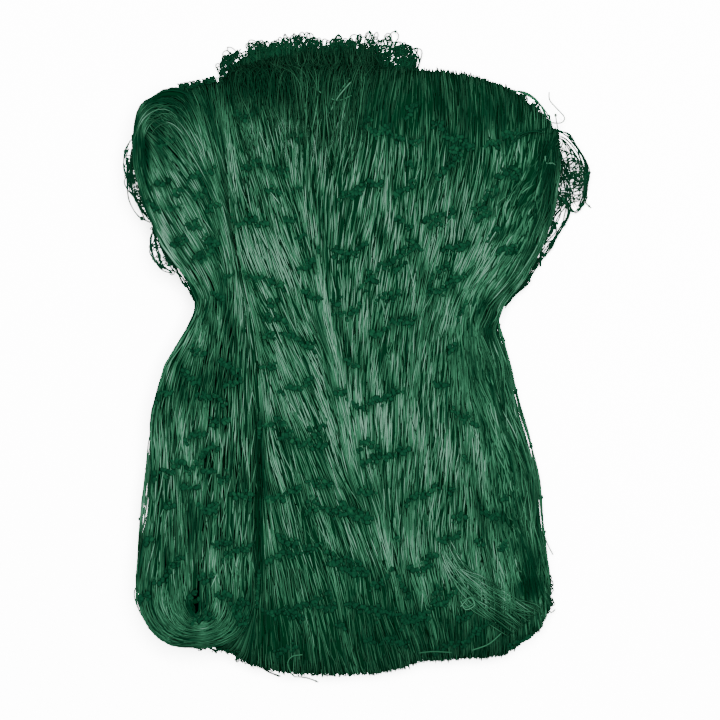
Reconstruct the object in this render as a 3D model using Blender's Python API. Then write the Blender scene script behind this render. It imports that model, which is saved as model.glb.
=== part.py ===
"""Folded bird netting: a knotted garden net, gathered and folded flat.

The net is gathered sideways into one broad, soft ribbon. The ribbon is folded back and
forth around its own first run, so that its layers lie one inside the other, with round
turns at the head (+Y) and the foot (-Y). The left margin of the whole stack is turned up
on edge, and its nested turns face upwards there. The last run lies on the surface, and its
free end sticks out at the head. The waist is drawn in, as the bag's tie left it.

+X is to the right, +Y towards the head, +Z up from the surface that the net lies on.
"""
import math

import bmesh
import bpy
import numpy as np

OBJECT_NAME = "folded_bird_netting"
NET_NAME = "folded_net"
MM = 0.001

# The stack, in millimetres.
LAYERS = 8
STACK_HEIGHT = 34.0
PITCH = STACK_HEIGHT / LAYERS
RIBBON_THICKNESS = 0.76 * PITCH
UNDERSIDE = 0.5 * (PITCH - RIBBON_THICKNESS)
WAIST_DIP = 3.0
WAIST_Y = 18.0
WAIST_SPREAD = 45.0

# The turns. Round ones inside, longer than high outside.
TURN_SLENDERNESS = 0.62
TURN_STEPS_INNER = 5
TURN_STEPS_ADDED = 4
HEAD_CENTRE = 105.0
FOOT_CENTRE = -110.0
END_BLEND = 70.0

# The upturned left margin, which bends through a quarter turn round the groove. A
# fullness below 1 makes the bend squarer than an ellipse, so that its wall slumps outwards.
BEND_SHARE = 0.84
BEND_FULLNESS = 0.7
GROOVE_RADIUS = 2.0
MARGIN_RISE = 2.5
MARGIN_UNEVENNESS = 1.6

# The right flank, whose middle layers bulge past the top and bottom ones.
FLANK_START = 0.72
FLANK_BULGE = 10.0

# Troughs between bundles of strands: where across the width, how wide and how deep.
TROUGH_COLUMNS = ("across", "width", "depth")
TROUGHS = (
    (0.34, 0.09, 2.6),
    (0.80, 0.07, 1.8),
)
MAIN_TROUGH = 0.34
SWELL = 1.3

# Where the ribbon's width is divided: below 0 in the margin, 0 at the groove, 1 at the right.
MARGIN_COLUMNS = (-1.0, -0.84, -0.67, -0.5, -0.34, -0.17)
MAIN_COLUMNS = (0.0, 0.1, 0.22, 0.34, 0.46, 0.59, 0.71, 0.8, 0.9, 1.0)

# The plan outline at stations along the net: the left edge, the core that the margin's
# nested turns wrap, the groove, the trough and the right edge.
OUTLINE_COLUMNS = ("y", "left", "core", "groove", "trough", "right")
OUTLINE = (
    (-145.0, -95.5, -74.0, -46.0, 19.0, 84.0),
    (-125.0, -97.0, -74.0, -45.0, 18.0, 84.5),
    (-110.0, -99.0, -74.0, -44.0, 17.5, 85.0),
    (-80.0, -97.5, -73.0, -42.5, 12.0, 81.0),
    (-50.0, -94.0, -71.0, -42.5, 4.5, 78.5),
    (-22.0, -91.0, -69.0, -42.5, -3.5, 70.5),
    (-2.0, -84.5, -66.0, -43.5, -8.5, 66.5),
    (13.0, -75.5, -61.0, -45.5, -11.0, 60.5),
    (24.0, -70.0, -59.0, -47.5, -13.0, 64.5),
    (36.0, -79.5, -65.0, -50.0, -15.0, 74.5),
    (50.0, -91.5, -74.0, -53.0, -16.0, 84.0),
    (66.0, -98.5, -82.0, -55.5, -18.0, 88.5),
    (84.0, -102.0, -88.0, -56.5, -20.0, 90.5),
    (105.0, -101.0, -89.0, -57.5, -24.0, 88.5),
    (120.0, -99.0, -88.0, -58.5, -25.5, 87.5),
    (132.0, -97.0, -87.0, -60.0, -26.0, 86.5),
)

# How far the turns reach at the head and the foot, across the width.
END_COLUMNS = ("across", "head", "foot")
ENDS = (
    (-1.00, 117.5, -123.5),
    (-0.50, 119.5, -124.5),
    (0.00, 123.5, -126.5),
    (0.05, 125.5, -132.0),
    (0.10, 126.5, -136.0),
    (0.30, 127.0, -138.5),
    (0.45, 127.0, -136.5),
    (0.55, 127.0, -132.5),
    (0.70, 125.5, -131.0),
    (0.80, 122.5, -130.5),
    (0.88, 118.5, -126.5),
    (0.95, 111.5, -119.5),
    (1.00, 102.0, -107.0),
)

# Where the free end of the last run stops, across the width.
TAIL_COLUMNS = ("across", "end")
TAIL = (
    (-1.0, 101.0),
    (-0.5, 104.0),
    (-0.05, 112.0),
    (0.04, 132.0),
    (0.14, 137.0),
    (0.30, 140.5),
    (0.45, 141.0),
    (0.55, 139.0),
    (0.62, 136.0),
    (0.68, 112.0),
    (1.00, 96.0),
)
TAIL_STEPS = 4

NET_COLOUR = (0.018, 0.115, 0.065, 1.0)


def column(table, names, name):
    """Return one named column of a table as an array."""
    return np.array([row[names.index(name)] for row in table])


def outline_at(name, y):
    """Read one of the outline's lines at a station along the net."""
    return float(np.interp(y, column(OUTLINE, OUTLINE_COLUMNS, "y"), column(OUTLINE, OUTLINE_COLUMNS, name)))


def end_at(name, across):
    """Read how far the turns reach at one place across the width."""
    return float(np.interp(across, column(ENDS, END_COLUMNS, "across"), column(ENDS, END_COLUMNS, name)))


def smooth_step(value, start, stop):
    """Ease from 0 at start to 1 at stop."""
    share = min(max((value - start) / (stop - start), 0.0), 1.0)
    return share * share * (3.0 - 2.0 * share)


def hump(value, centre, spread):
    """A soft bell that is 1 at the centre."""
    return math.exp(-((value - centre) / spread) ** 2)


# The section -------------------------------------------------------------------------


def layer_height(layer):
    """Height of a layer's middle; layer 1 is the top one."""
    return STACK_HEIGHT - (layer - 0.5) * PITCH


def winding_order():
    """Layers in the order in which the ribbon runs through them, from the inside out."""
    middle = LAYERS // 2
    order = []
    for step in range(middle):
        order += [middle - step, middle + 1 + step]
    return order


def turn_reach(half_height):
    """How far a turn of this half height reaches past its centre."""
    outermost = 0.5 * (STACK_HEIGHT - PITCH)
    return half_height * (1.0 + TURN_SLENDERNESS * half_height / outermost)


def turn_points(start, stop, centre, side):
    """Points of the half ellipse that leads from one layer to another."""
    half_height = 0.5 * (start - stop)
    middle = 0.5 * (start + stop)
    reach = turn_reach(abs(half_height))
    steps = TURN_STEPS_INNER + round(TURN_STEPS_ADDED * abs(half_height) / (0.5 * STACK_HEIGHT))
    angles = [math.pi * (step + 1) / (steps + 1) for step in range(steps)]
    return [(centre + side * reach * math.sin(a), middle + half_height * math.cos(a), 0.0) for a in angles]


def section_path():
    """Middle line of the ribbon as (along, height, share of the free tail)."""
    order = winding_order()
    stations = [row[0] for row in OUTLINE if FOOT_CENTRE <= row[0] <= HEAD_CENTRE]
    path = []
    for run, layer in enumerate(order):
        height = layer_height(layer)
        side = 1.0 if run % 2 else -1.0
        path += [(along, height, 0.0) for along in sorted(stations, reverse=side < 0.0)]
        if run + 1 < len(order):
            centre = HEAD_CENTRE if side > 0.0 else FOOT_CENTRE
            path += turn_points(height, layer_height(order[run + 1]), centre, side)
    bottom = layer_height(LAYERS)
    path += [(HEAD_CENTRE + step, bottom, step / TAIL_STEPS) for step in range(1, TAIL_STEPS + 1)]
    return path


def section_ring():
    """Closed outline of the ribbon's section: out along one face, back along the other."""
    path = np.array(section_path())
    along_height = path[:, :2]
    tangent = np.gradient(along_height, axis=0)
    tangent /= np.linalg.norm(tangent, axis=1)[:, None]
    normal = np.stack([-tangent[:, 1], tangent[:, 0]], axis=1)
    faces = []
    for side in (0.5, -0.5):
        shifted = along_height + side * RIBBON_THICKNESS * normal
        faces.append(np.column_stack([shifted, path[:, 2]]))
    return np.vstack([faces[0], faces[1][::-1]])


# The placing -------------------------------------------------------------------------


def station(across, along, tail):
    """Where a point of the section lies along Y, at one place across the width."""
    head_nose = HEAD_CENTRE + turn_reach(0.5 * (STACK_HEIGHT - 2.0 * PITCH)) + 0.5 * RIBBON_THICKNESS
    foot_nose = FOOT_CENTRE - turn_reach(0.5 * (STACK_HEIGHT - PITCH)) - 0.5 * RIBBON_THICKNESS
    head_shift = end_at("head", across) - head_nose
    foot_shift = end_at("foot", across) - foot_nose
    if tail > 0.0:
        end = float(np.interp(across, column(TAIL, TAIL_COLUMNS, "across"), column(TAIL, TAIL_COLUMNS, "end")))
        return (1.0 - tail) * (HEAD_CENTRE + head_shift) + tail * end
    head_share = smooth_step(along, HEAD_CENTRE - END_BLEND, HEAD_CENTRE)
    foot_share = smooth_step(-along, -FOOT_CENTRE - END_BLEND, -FOOT_CENTRE)
    return along + head_shift * head_share + foot_shift * foot_share


def stack_scale(across, y):
    """How high the stack is here, as a share of its full height."""
    waist = WAIST_DIP * hump(y, WAIST_Y, WAIST_SPREAD)
    trough = sum(depth * hump(across, centre, width) for centre, width, depth in TROUGHS)
    swell = SWELL * math.sin(9.0 * across + 0.02 * y) * math.sin(0.035 * y + 4.0 * across)
    return 1.0 - (waist + trough + swell * smooth_step(across, 0.0, 0.2)) / STACK_HEIGHT


def place_margin(across, y, level):
    """A point of the upturned margin; level is 0 at the stack's bottom and 1 at its top."""
    groove = outline_at("groove", y)
    radii = (groove - outline_at("left", y), groove - outline_at("core", y), GROOVE_RADIUS)
    radius = float(np.interp(level, (0.0, 0.5, 1.0), radii))
    height = STACK_HEIGHT * stack_scale(0.0, y)
    angle = 0.5 * math.pi * min(1.0, -across / BEND_SHARE)
    rise_share = max(0.0, -across - BEND_SHARE) / (1.0 - BEND_SHARE)
    rise = MARGIN_RISE + MARGIN_UNEVENNESS * math.sin(0.05 * y + 11.0 * level)
    out_share, down_share = math.sin(angle) ** BEND_FULLNESS, math.cos(angle) ** BEND_FULLNESS
    x = groove - radius * out_share
    z = height + GROOVE_RADIUS - ((1.0 - level) * height + GROOVE_RADIUS) * down_share
    return x, y, z + rise * rise_share


def place_main(across, y, level):
    """A point of the flat-lying part, between the groove and the right edge."""
    groove, trough, right = (outline_at(name, y) for name in ("groove", "trough", "right"))
    x = float(np.interp(across, (0.0, MAIN_TROUGH, 1.0), (groove, trough, right)))
    bulge = FLANK_BULGE * (2.0 * level - 1.0) ** 2 * smooth_step(across, FLANK_START, 1.0)
    return x - bulge, y, level * STACK_HEIGHT * stack_scale(across, y)


def place(across, section_point):
    """Lay one point of the section in space, in metres."""
    along, height, tail = section_point
    y = station(across, along, tail)
    level = (height - UNDERSIDE) / STACK_HEIGHT
    spot = place_margin(across, y, level) if across < 0.0 else place_main(across, y, level)
    return [coordinate * MM for coordinate in spot]


# The object --------------------------------------------------------------------------


def loft(mesh_builder, columns, ring):
    """Join the section's ring at each column, and close the two long edges."""
    rings = [[mesh_builder.verts.new(place(across, point)) for point in ring] for across in columns]
    count = len(ring)
    for near, far in zip(rings, rings[1:]):
        for index in range(count):
            following = (index + 1) % count
            mesh_builder.faces.new((near[index], near[following], far[following], far[index]))
    half = count // 2
    for edge in (rings[0], rings[-1]):
        for index in range(half - 1):
            opposite = count - 1 - index
            mesh_builder.faces.new((edge[index], edge[index + 1], edge[opposite - 1], edge[opposite]))
    bmesh.ops.recalc_face_normals(mesh_builder, faces=mesh_builder.faces)


def centre_on_origin(mesh_builder):
    """Shift the net so that its box stands on the origin."""
    spots = np.array([vert.co for vert in mesh_builder.verts])
    low, high = spots.min(axis=0), spots.max(axis=0)
    shift = (-0.5 * (low[0] + high[0]), -0.5 * (low[1] + high[1]), -low[2])
    bmesh.ops.translate(mesh_builder, verts=mesh_builder.verts, vec=shift)


def net_material():
    """Dull deep green, as the gathered twine looks from a step away."""
    material = bpy.data.materials.new("green_twine")
    material.use_nodes = True
    shader = material.node_tree.nodes["Principled BSDF"]
    shader.inputs["Base Color"].default_value = NET_COLOUR
    shader.inputs["Roughness"].default_value = 0.6
    shader.inputs["Metallic"].default_value = 0.0
    return material


def add_net(collection):
    """Build the folded net as one solid."""
    mesh_builder = bmesh.new()
    loft(mesh_builder, MARGIN_COLUMNS + MAIN_COLUMNS, section_ring())
    centre_on_origin(mesh_builder)
    mesh = bpy.data.meshes.new(NET_NAME)
    mesh_builder.to_mesh(mesh)
    mesh_builder.free()
    mesh.materials.append(net_material())
    mesh.shade_smooth()
    mesh.set_sharp_from_angle(angle=math.radians(50.0))
    net = bpy.data.objects.new(NET_NAME, mesh)
    collection.objects.link(net)
    return net


def main():
    """Clear the scene and build the netting."""
    for existing in list(bpy.data.objects):
        bpy.data.objects.remove(existing, do_unlink=True)
    collection = bpy.data.collections.new(OBJECT_NAME)
    bpy.context.scene.collection.children.link(collection)
    add_net(collection)


main()
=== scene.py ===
"""Folded bird netting: the looks of a knotted garden net, gathered and folded flat.

The ribbon of gathered net keeps the fold of its solid. Thousands of thin strands follow
that fold: over the top, round the head and foot, along the upturned left margin and down
the right flank. Rows of small knots cross them, and mesh loops and loose threads stand
out at the edges. Lengths are in millimetres until a mesh is written.
"""
import logging
import math
from collections.abc import Callable
from dataclasses import dataclass, field, replace
from enum import Enum
from functools import cached_property, partial

import bpy
import numpy as np
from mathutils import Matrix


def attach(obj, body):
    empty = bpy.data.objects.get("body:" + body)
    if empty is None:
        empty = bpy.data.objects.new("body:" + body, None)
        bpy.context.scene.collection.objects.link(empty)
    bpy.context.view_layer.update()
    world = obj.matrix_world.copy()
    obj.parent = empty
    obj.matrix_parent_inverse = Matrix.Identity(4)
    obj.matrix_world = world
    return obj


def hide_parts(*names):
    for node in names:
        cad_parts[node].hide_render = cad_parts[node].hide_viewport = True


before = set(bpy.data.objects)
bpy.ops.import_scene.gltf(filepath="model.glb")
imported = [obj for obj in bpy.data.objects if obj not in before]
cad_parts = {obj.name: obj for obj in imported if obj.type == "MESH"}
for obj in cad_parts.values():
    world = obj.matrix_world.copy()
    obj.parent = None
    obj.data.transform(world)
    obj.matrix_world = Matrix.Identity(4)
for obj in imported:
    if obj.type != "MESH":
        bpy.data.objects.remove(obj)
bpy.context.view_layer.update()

LOG = logging.getLogger("folded_netting")
MM = 0.001
NODE = "folded_net"
DRAWN_CENTRE = (6.01, -1.617, 0.0)
GATHERED_WIDTH = 200.0
UP = (0.0, 0.0, 1.0)
GOLDEN = 0.6180339887

Array = np.ndarray
Pair = tuple[float, float]
Triple = tuple[float, float, float]


# Tools for tables, noise and meshes


@dataclass(frozen=True)
class Table:
    """Rows of sizes under named columns; the first column is the place to read at."""

    names: str
    rows: tuple

    def column(self, name: str) -> Array:
        """Return one column."""
        return np.array([row[self.names.split().index(name)] for row in self.rows], dtype=float)

    def read(self, name: str, place: Array) -> Array:
        """Read a column at places, straight between the rows."""
        return np.interp(place, self.column(self.names.split()[0]), self.column(name))


def smooth_step(value: Array, start: float, stop: float) -> Array:
    """Ease from 0 at start to 1 at stop: 3t^2 - 2t^3."""
    share = np.clip((value - start) / (stop - start), 0.0, 1.0)
    return share * share * (3.0 - 2.0 * share)


def unit(vectors: Array) -> Array:
    """Scale vectors to length 1."""
    return vectors / np.maximum(np.linalg.norm(vectors, axis=-1, keepdims=True), 1e-9)


def between(low: Array, high: Array, share: Array) -> Array:
    """Mix two arrays: low + share * (high - low)."""
    return low + (high - low) * share


def spline(points: Array, place: Array, closed: bool = False) -> Array:
    """Read a smooth curve through points, the Catmull-Rom spline.

    Args:
        points: The points, of shape (points, 2) or (points, 3).
        place: Places along the curve, counted in points.
        closed: Whether the curve runs on from its last point to its first.

    Returns:
        Places in space, with one more axis than place.
    """
    count = len(points)
    low = np.floor(place).astype(int)
    low = low if closed else np.clip(low, 0, count - 2)
    share = (place - low)[..., None]
    index = [low + step for step in (-1, 0, 1, 2)]
    index = [step % count if closed else np.clip(step, 0, count - 1) for step in index]
    before, start, stop, after = (points[step] for step in index)
    slope = stop - before
    curve = 2.0 * before - 5.0 * start + 4.0 * stop - after
    twist = 3.0 * (start - stop) + after - before
    return start + 0.5 * share * (slope + share * (curve + share * twist))


@dataclass(frozen=True)
class Ripple:
    """Smooth noise over a plane: a sum of sine waves with random lengths and directions.

    Its value is amplitude * sum(sin(kx x + ky y + phase)) / sqrt(count).
    """

    seed: int
    amplitude: float
    shortest: float
    longest: float
    count: int = 7

    @cached_property
    def waves(self) -> list[tuple]:
        """Draw the waves, once.

        Returns:
            Each wave's kx, ky and phase.
        """
        rng = np.random.default_rng(self.seed)
        length = rng.uniform(self.shortest, self.longest, self.count)
        angle = rng.uniform(0.0, 2.0 * math.pi, self.count)
        kx, ky = (2.0 * math.pi * turn(angle) / length for turn in (np.cos, np.sin))
        return list(zip(kx, ky, rng.uniform(0.0, 2.0 * math.pi, self.count)))

    def at(self, x: Array, y: Array) -> Array:
        """Read the noise at points.

        Args:
            x: First coordinates.
            y: Second coordinates, of the same shape.

        Returns:
            The noise, of the same shape.
        """
        total = np.zeros(np.broadcast(x, y).shape)
        for kx, ky, phase in self.waves:
            total += np.sin(kx * x + ky * y + phase)
        return self.amplitude * total / math.sqrt(self.count)


@dataclass
class Cloud:
    """Points, faces, UVs and tones of one joined mesh, gathered part by part."""

    name: str
    points: list[Array] = field(default_factory=list)
    quads: list[Array] = field(default_factory=list)
    tris: list[Array] = field(default_factory=list)
    quad_uvs: list[Array] = field(default_factory=list)
    tones: list[Array] = field(default_factory=list)
    size: int = 0

    def add(self, points: Array, quads: Array, tris: Array, quad_uvs: Array, tones: Array) -> None:
        """Append one part; its faces count from its own first point.

        Args:
            points: Its points.
            quads: Its faces with four corners.
            tris: Its faces with three.
            quad_uvs: UVs of the quads' corners.
            tones: Colour tones of the points.
        """
        self.points.append(points)
        self.quads.append(quads + self.size)
        self.tris.append(tris + self.size)
        self.quad_uvs.append(quad_uvs)
        self.tones.append(tones)
        self.size += len(points)

    def triangles(self) -> int:
        """Count the triangles gathered so far."""
        return 2 * sum(len(quads) for quads in self.quads) + sum(len(tris) for tris in self.tris)

    def build(self, material: bpy.types.Material, shift: tuple) -> bpy.types.Object:
        """Write the mesh.

        Args:
            material: The finish of the whole piece.
            shift: What moves the net's own frame onto the CAD box, in millimetres.

        Returns:
            The finished object, which rides on the net's one body.
        """
        points = (np.concatenate(self.points) + shift) * MM
        quads = np.concatenate(self.quads).reshape(-1, 4)
        tris = np.concatenate(self.tris).reshape(-1, 3)
        corners = np.concatenate([quads.ravel(), tris.ravel()])
        starts = np.concatenate([4 * np.arange(len(quads)), 4 * len(quads) + 3 * np.arange(len(tris))])
        mesh = bpy.data.meshes.new(self.name)
        mesh.vertices.add(len(points))
        mesh.vertices.foreach_set("co", points.ravel())
        mesh.loops.add(len(corners))
        mesh.loops.foreach_set("vertex_index", corners)
        mesh.polygons.add(len(starts))
        mesh.polygons.foreach_set("loop_start", starts)
        uvs = np.concatenate([np.concatenate(self.quad_uvs).reshape(-1, 2), np.zeros((3 * len(tris), 2))])
        mesh.uv_layers.new(name="twist").data.foreach_set("uv", uvs.ravel())
        tone = mesh.attributes.new("tone", "FLOAT", "POINT")
        tone.data.foreach_set("value", np.concatenate(self.tones))
        mesh.update(calc_edges=True)
        mesh.polygons.foreach_set("use_smooth", np.ones(len(starts), dtype=bool))
        mesh.validate()
        mesh.materials.append(material)
        piece = bpy.data.objects.new(self.name, mesh)
        bpy.context.scene.collection.objects.link(piece)
        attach(piece, "root")
        LOG.info("%s: %d triangles", self.name, self.triangles())
        return piece


def add_tubes(cloud: Cloud, centres: Array, ups: Array, radius: Array, tones: Array, sides: int = 3) -> None:
    """Add a bundle of thin tubes that all have the same number of stations.

    A ring stands at each station: centre + r (cos a * up' + sin a * side), where side is
    tangent x up and up' is side x tangent. Both ends are closed.

    Args:
        cloud: The mesh to add to.
        centres: Middle lines, of shape (tubes, stations, 3).
        ups: Rough outward directions, of the same shape.
        radius: Radii, of shape (tubes, stations).
        tones: Colour tones from 0 to 1, of shape (tubes, stations).
        sides: Corners of each ring.
    """
    tubes, stations, _ = centres.shape
    tangent = unit(np.gradient(centres, axis=1))
    side = unit(np.cross(tangent, ups))
    above = np.cross(side, tangent)
    angle = 2.0 * math.pi * np.arange(sides) / sides + 0.5 * math.pi
    rings = centres[:, :, None, :] + radius[:, :, None, None] * (
        np.cos(angle)[:, None] * side[:, :, None, :] + np.sin(angle)[:, None] * above[:, :, None, :]
    )
    index = np.arange(tubes * stations * sides).reshape(tubes, stations, sides)
    following = np.roll(index, -1, axis=2)
    quads = np.stack([index[:, :-1], following[:, :-1], following[:, 1:], index[:, 1:]], axis=-1)
    fans = [[0, corner, corner + 1] for corner in range(1, sides - 1)]
    caps = [index[:, 0][:, fan[::-1]] for fan in fans] + [index[:, -1][:, fan] for fan in fans]
    length = np.cumsum(np.linalg.norm(np.diff(centres, axis=1, prepend=centres[:, :1]), axis=2), axis=1)
    around = np.arange(sides + 1) / sides
    uv = np.zeros(quads.shape + (2,))
    uv[..., 0, 0] = uv[..., 1, 0] = length[:, :-1, None]
    uv[..., 2, 0] = uv[..., 3, 0] = length[:, 1:, None]
    uv[..., 0, 1] = uv[..., 3, 1] = around[:-1]
    uv[..., 1, 1] = uv[..., 2, 1] = around[1:]
    tone = np.repeat(tones[:, :, None], sides, axis=2)
    points, faces = rings.reshape(-1, 3), quads.reshape(-1, 4)
    cloud.add(points, faces, np.concatenate(caps), uv.reshape(-1, 2), tone.ravel())


# The fold


@dataclass(frozen=True)
class Winding:
    """The ribbon's section: runs one inside the other, joined by round turns."""

    layers: int = 8
    height: float = 34.0
    fill: float = 0.76
    slenderness: float = 0.62
    head_centre: float = 105.0
    foot_centre: float = -110.0
    run_step: float = 5.0
    turn_steps: int = 13
    tail_length: float = 30.0
    tail_steps: int = 6

    @property
    def pitch(self) -> float:
        """From one run to the next."""
        return self.height / self.layers

    @property
    def thickness(self) -> float:
        """Of the gathered ribbon."""
        return self.fill * self.pitch

    @property
    def underside(self) -> float:
        """Height of the lowest run's lower face."""
        return 0.5 * (self.pitch - self.thickness)

    def run_height(self, layer: int) -> float:
        """Height of a run's middle; layer 1 is on top."""
        return self.height - (layer - 0.5) * self.pitch

    def reach(self, half_height: float) -> float:
        """How far a turn of this half height goes past its centre."""
        outermost = 0.5 * (self.height - self.pitch)
        return half_height * (1.0 + self.slenderness * half_height / outermost)

    def turn(self, start: float, stop: float, centre: float, side: float) -> Array:
        """Half an ellipse from one run to the next.

        Args:
            start: Height of the run it leaves.
            stop: Height of the run it reaches.
            centre: Where it starts along the net.
            side: 1 towards the head, -1 towards the foot.

        Returns:
            Path points of the turn, without its two ends.
        """
        half_height = 0.5 * (start - stop)
        angle = math.pi * np.arange(1, self.turn_steps + 1) / (self.turn_steps + 1)
        along = centre + side * self.reach(abs(half_height)) * np.sin(angle)
        return np.stack([along, 0.5 * (start + stop) + half_height * np.cos(angle), 0.0 * angle], axis=1)

    @cached_property
    def order(self) -> list[int]:
        """Runs from the inside of the fold to its outside."""
        middle = self.layers // 2
        return [layer for step in range(middle) for layer in (middle - step, middle + 1 + step)]

    @cached_property
    def path(self) -> Array:
        """Middle line of the ribbon.

        Returns:
            Points with columns along, height and share of the free tail.
        """
        count = round((self.head_centre - self.foot_centre) / self.run_step)
        heights = [self.run_height(layer) for layer in self.order]
        parts = []
        for run, height in enumerate(heights):
            ends = (self.head_centre, self.foot_centre)[:: -1 if run % 2 else 1]
            stations = np.linspace(*ends, count)
            parts.append(np.stack([stations, np.full(count, height), np.zeros(count)], axis=1))
            if run + 1 < self.layers:
                side = 1.0 if run % 2 else -1.0
                parts.append(self.turn(height, heights[run + 1], ends[1], side))
        share = np.arange(1, self.tail_steps + 1) / self.tail_steps
        low = np.full(self.tail_steps, heights[-1])
        tail = np.stack([self.head_centre + share * self.tail_length, low, share], axis=1)
        return np.concatenate(parts + [tail])

    @cached_property
    def outward(self) -> Array:
        """Unit normals of the path that point away from the fold's core."""
        tangent = unit(np.gradient(self.path[:, :2], axis=0))
        return np.stack([tangent[:, 1], -tangent[:, 0]], axis=1)

    @cached_property
    def travel(self) -> Array:
        """Distance travelled along the ribbon at each path point."""
        steps = np.linalg.norm(np.diff(self.path[:, :2], axis=0), axis=1)
        return np.concatenate([[0.0], np.cumsum(steps)])

    def run_span(self, layer: int) -> Pair:
        """Travel at which a straight run starts and stops."""
        on_run = self.travel[np.abs(self.path[:, 1] - self.run_height(layer)) < 1e-6]
        return float(on_run.min()), float(on_run.max())

    def at(self, travel: Array) -> tuple[Array, Array, Array, Array, Array]:
        """Read along, height, tail share and the outward normal at a travel."""
        columns = (*self.path.T, *self.outward.T)
        return tuple(np.interp(travel, self.travel, values) for values in columns)


OUTLINE = Table("y left core groove trough right", (
    (-145, -64, -63, -46, 19, 84),
    (-127, -72, -68, -45.5, 18, 84.5),
    (-122, -84.5, -72.5, -45, 18, 84.5),
    (-116, -92, -73.5, -44.5, 18, 85),
    (-110, -95, -73.5, -44, 17.5, 85),
    (-96, -95, -73.5, -43, 15, 83.5),
    (-88, -94, -73.2, -42.8, 13.5, 82.5),
    (-75, -91.6, -72.5, -42.5, 11, 80),
    (-62, -90, -71.5, -42.5, 8, 78.8),
    (-50, -89, -71, -42.5, 4.5, 77.6),
    (-40, -89.2, -70.2, -42.5, 1.5, 75.1),
    (-30, -89.9, -69.5, -42.5, -1.5, 72.1),
    (-22, -89, -69, -42.5, -3.5, 69.5),
    (-2, -83.4, -66, -43.5, -8.5, 65.4),
    (13, -74.2, -61, -45.5, -11, 60),
    (24, -69.2, -59, -47.5, -13, 63.5),
    (36, -74.5, -65, -50, -15, 73.5),
    (50, -85, -73, -53, -16, 80.5),
    (66, -92, -80, -55.5, -18, 86),
    (84, -97, -86, -56.5, -20, 88.5),
    (105, -97.6, -86, -57.5, -24, 88),
    (120, -94, -83, -58.5, -25.5, 87.5),
    (132, -95, -82, -60, -26, 86.5),
))

ENDS = Table("across head foot", (
    (-1, 116.3, -122), (-0.5, 118.4, -124), (-0.12, 121.8, -130.6), (-0.05, 122.7, -133.2),
    (0, 123.5, -134.6), (0.05, 125.5, -136.8), (0.1, 126.5, -138.4), (0.2, 127, -138.9),
    (0.3, 127, -137.9), (0.36, 127, -136), (0.43, 127.5, -132.6), (0.55, 128, -131.7),
    (0.7, 127.6, -131.7), (0.8, 125, -130.2), (0.88, 119.6, -124.4), (0.95, 109.8, -119.3),
    (1, 99.5, -108.5),
))

TAIL = Table("across end", (
    (-1, 96), (-0.5, 101), (-0.05, 118), (0, 126), (0.03, 131), (0.08, 134.5), (0.14, 137), (0.3, 139.2),
    (0.44, 138.8), (0.5, 137), (0.55, 134), (0.6, 131), (0.635, 127), (0.68, 114), (1, 96),
))

TROUGHS = ((0.34, 0.09, 2.6), (0.8, 0.07, 1.8))


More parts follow.
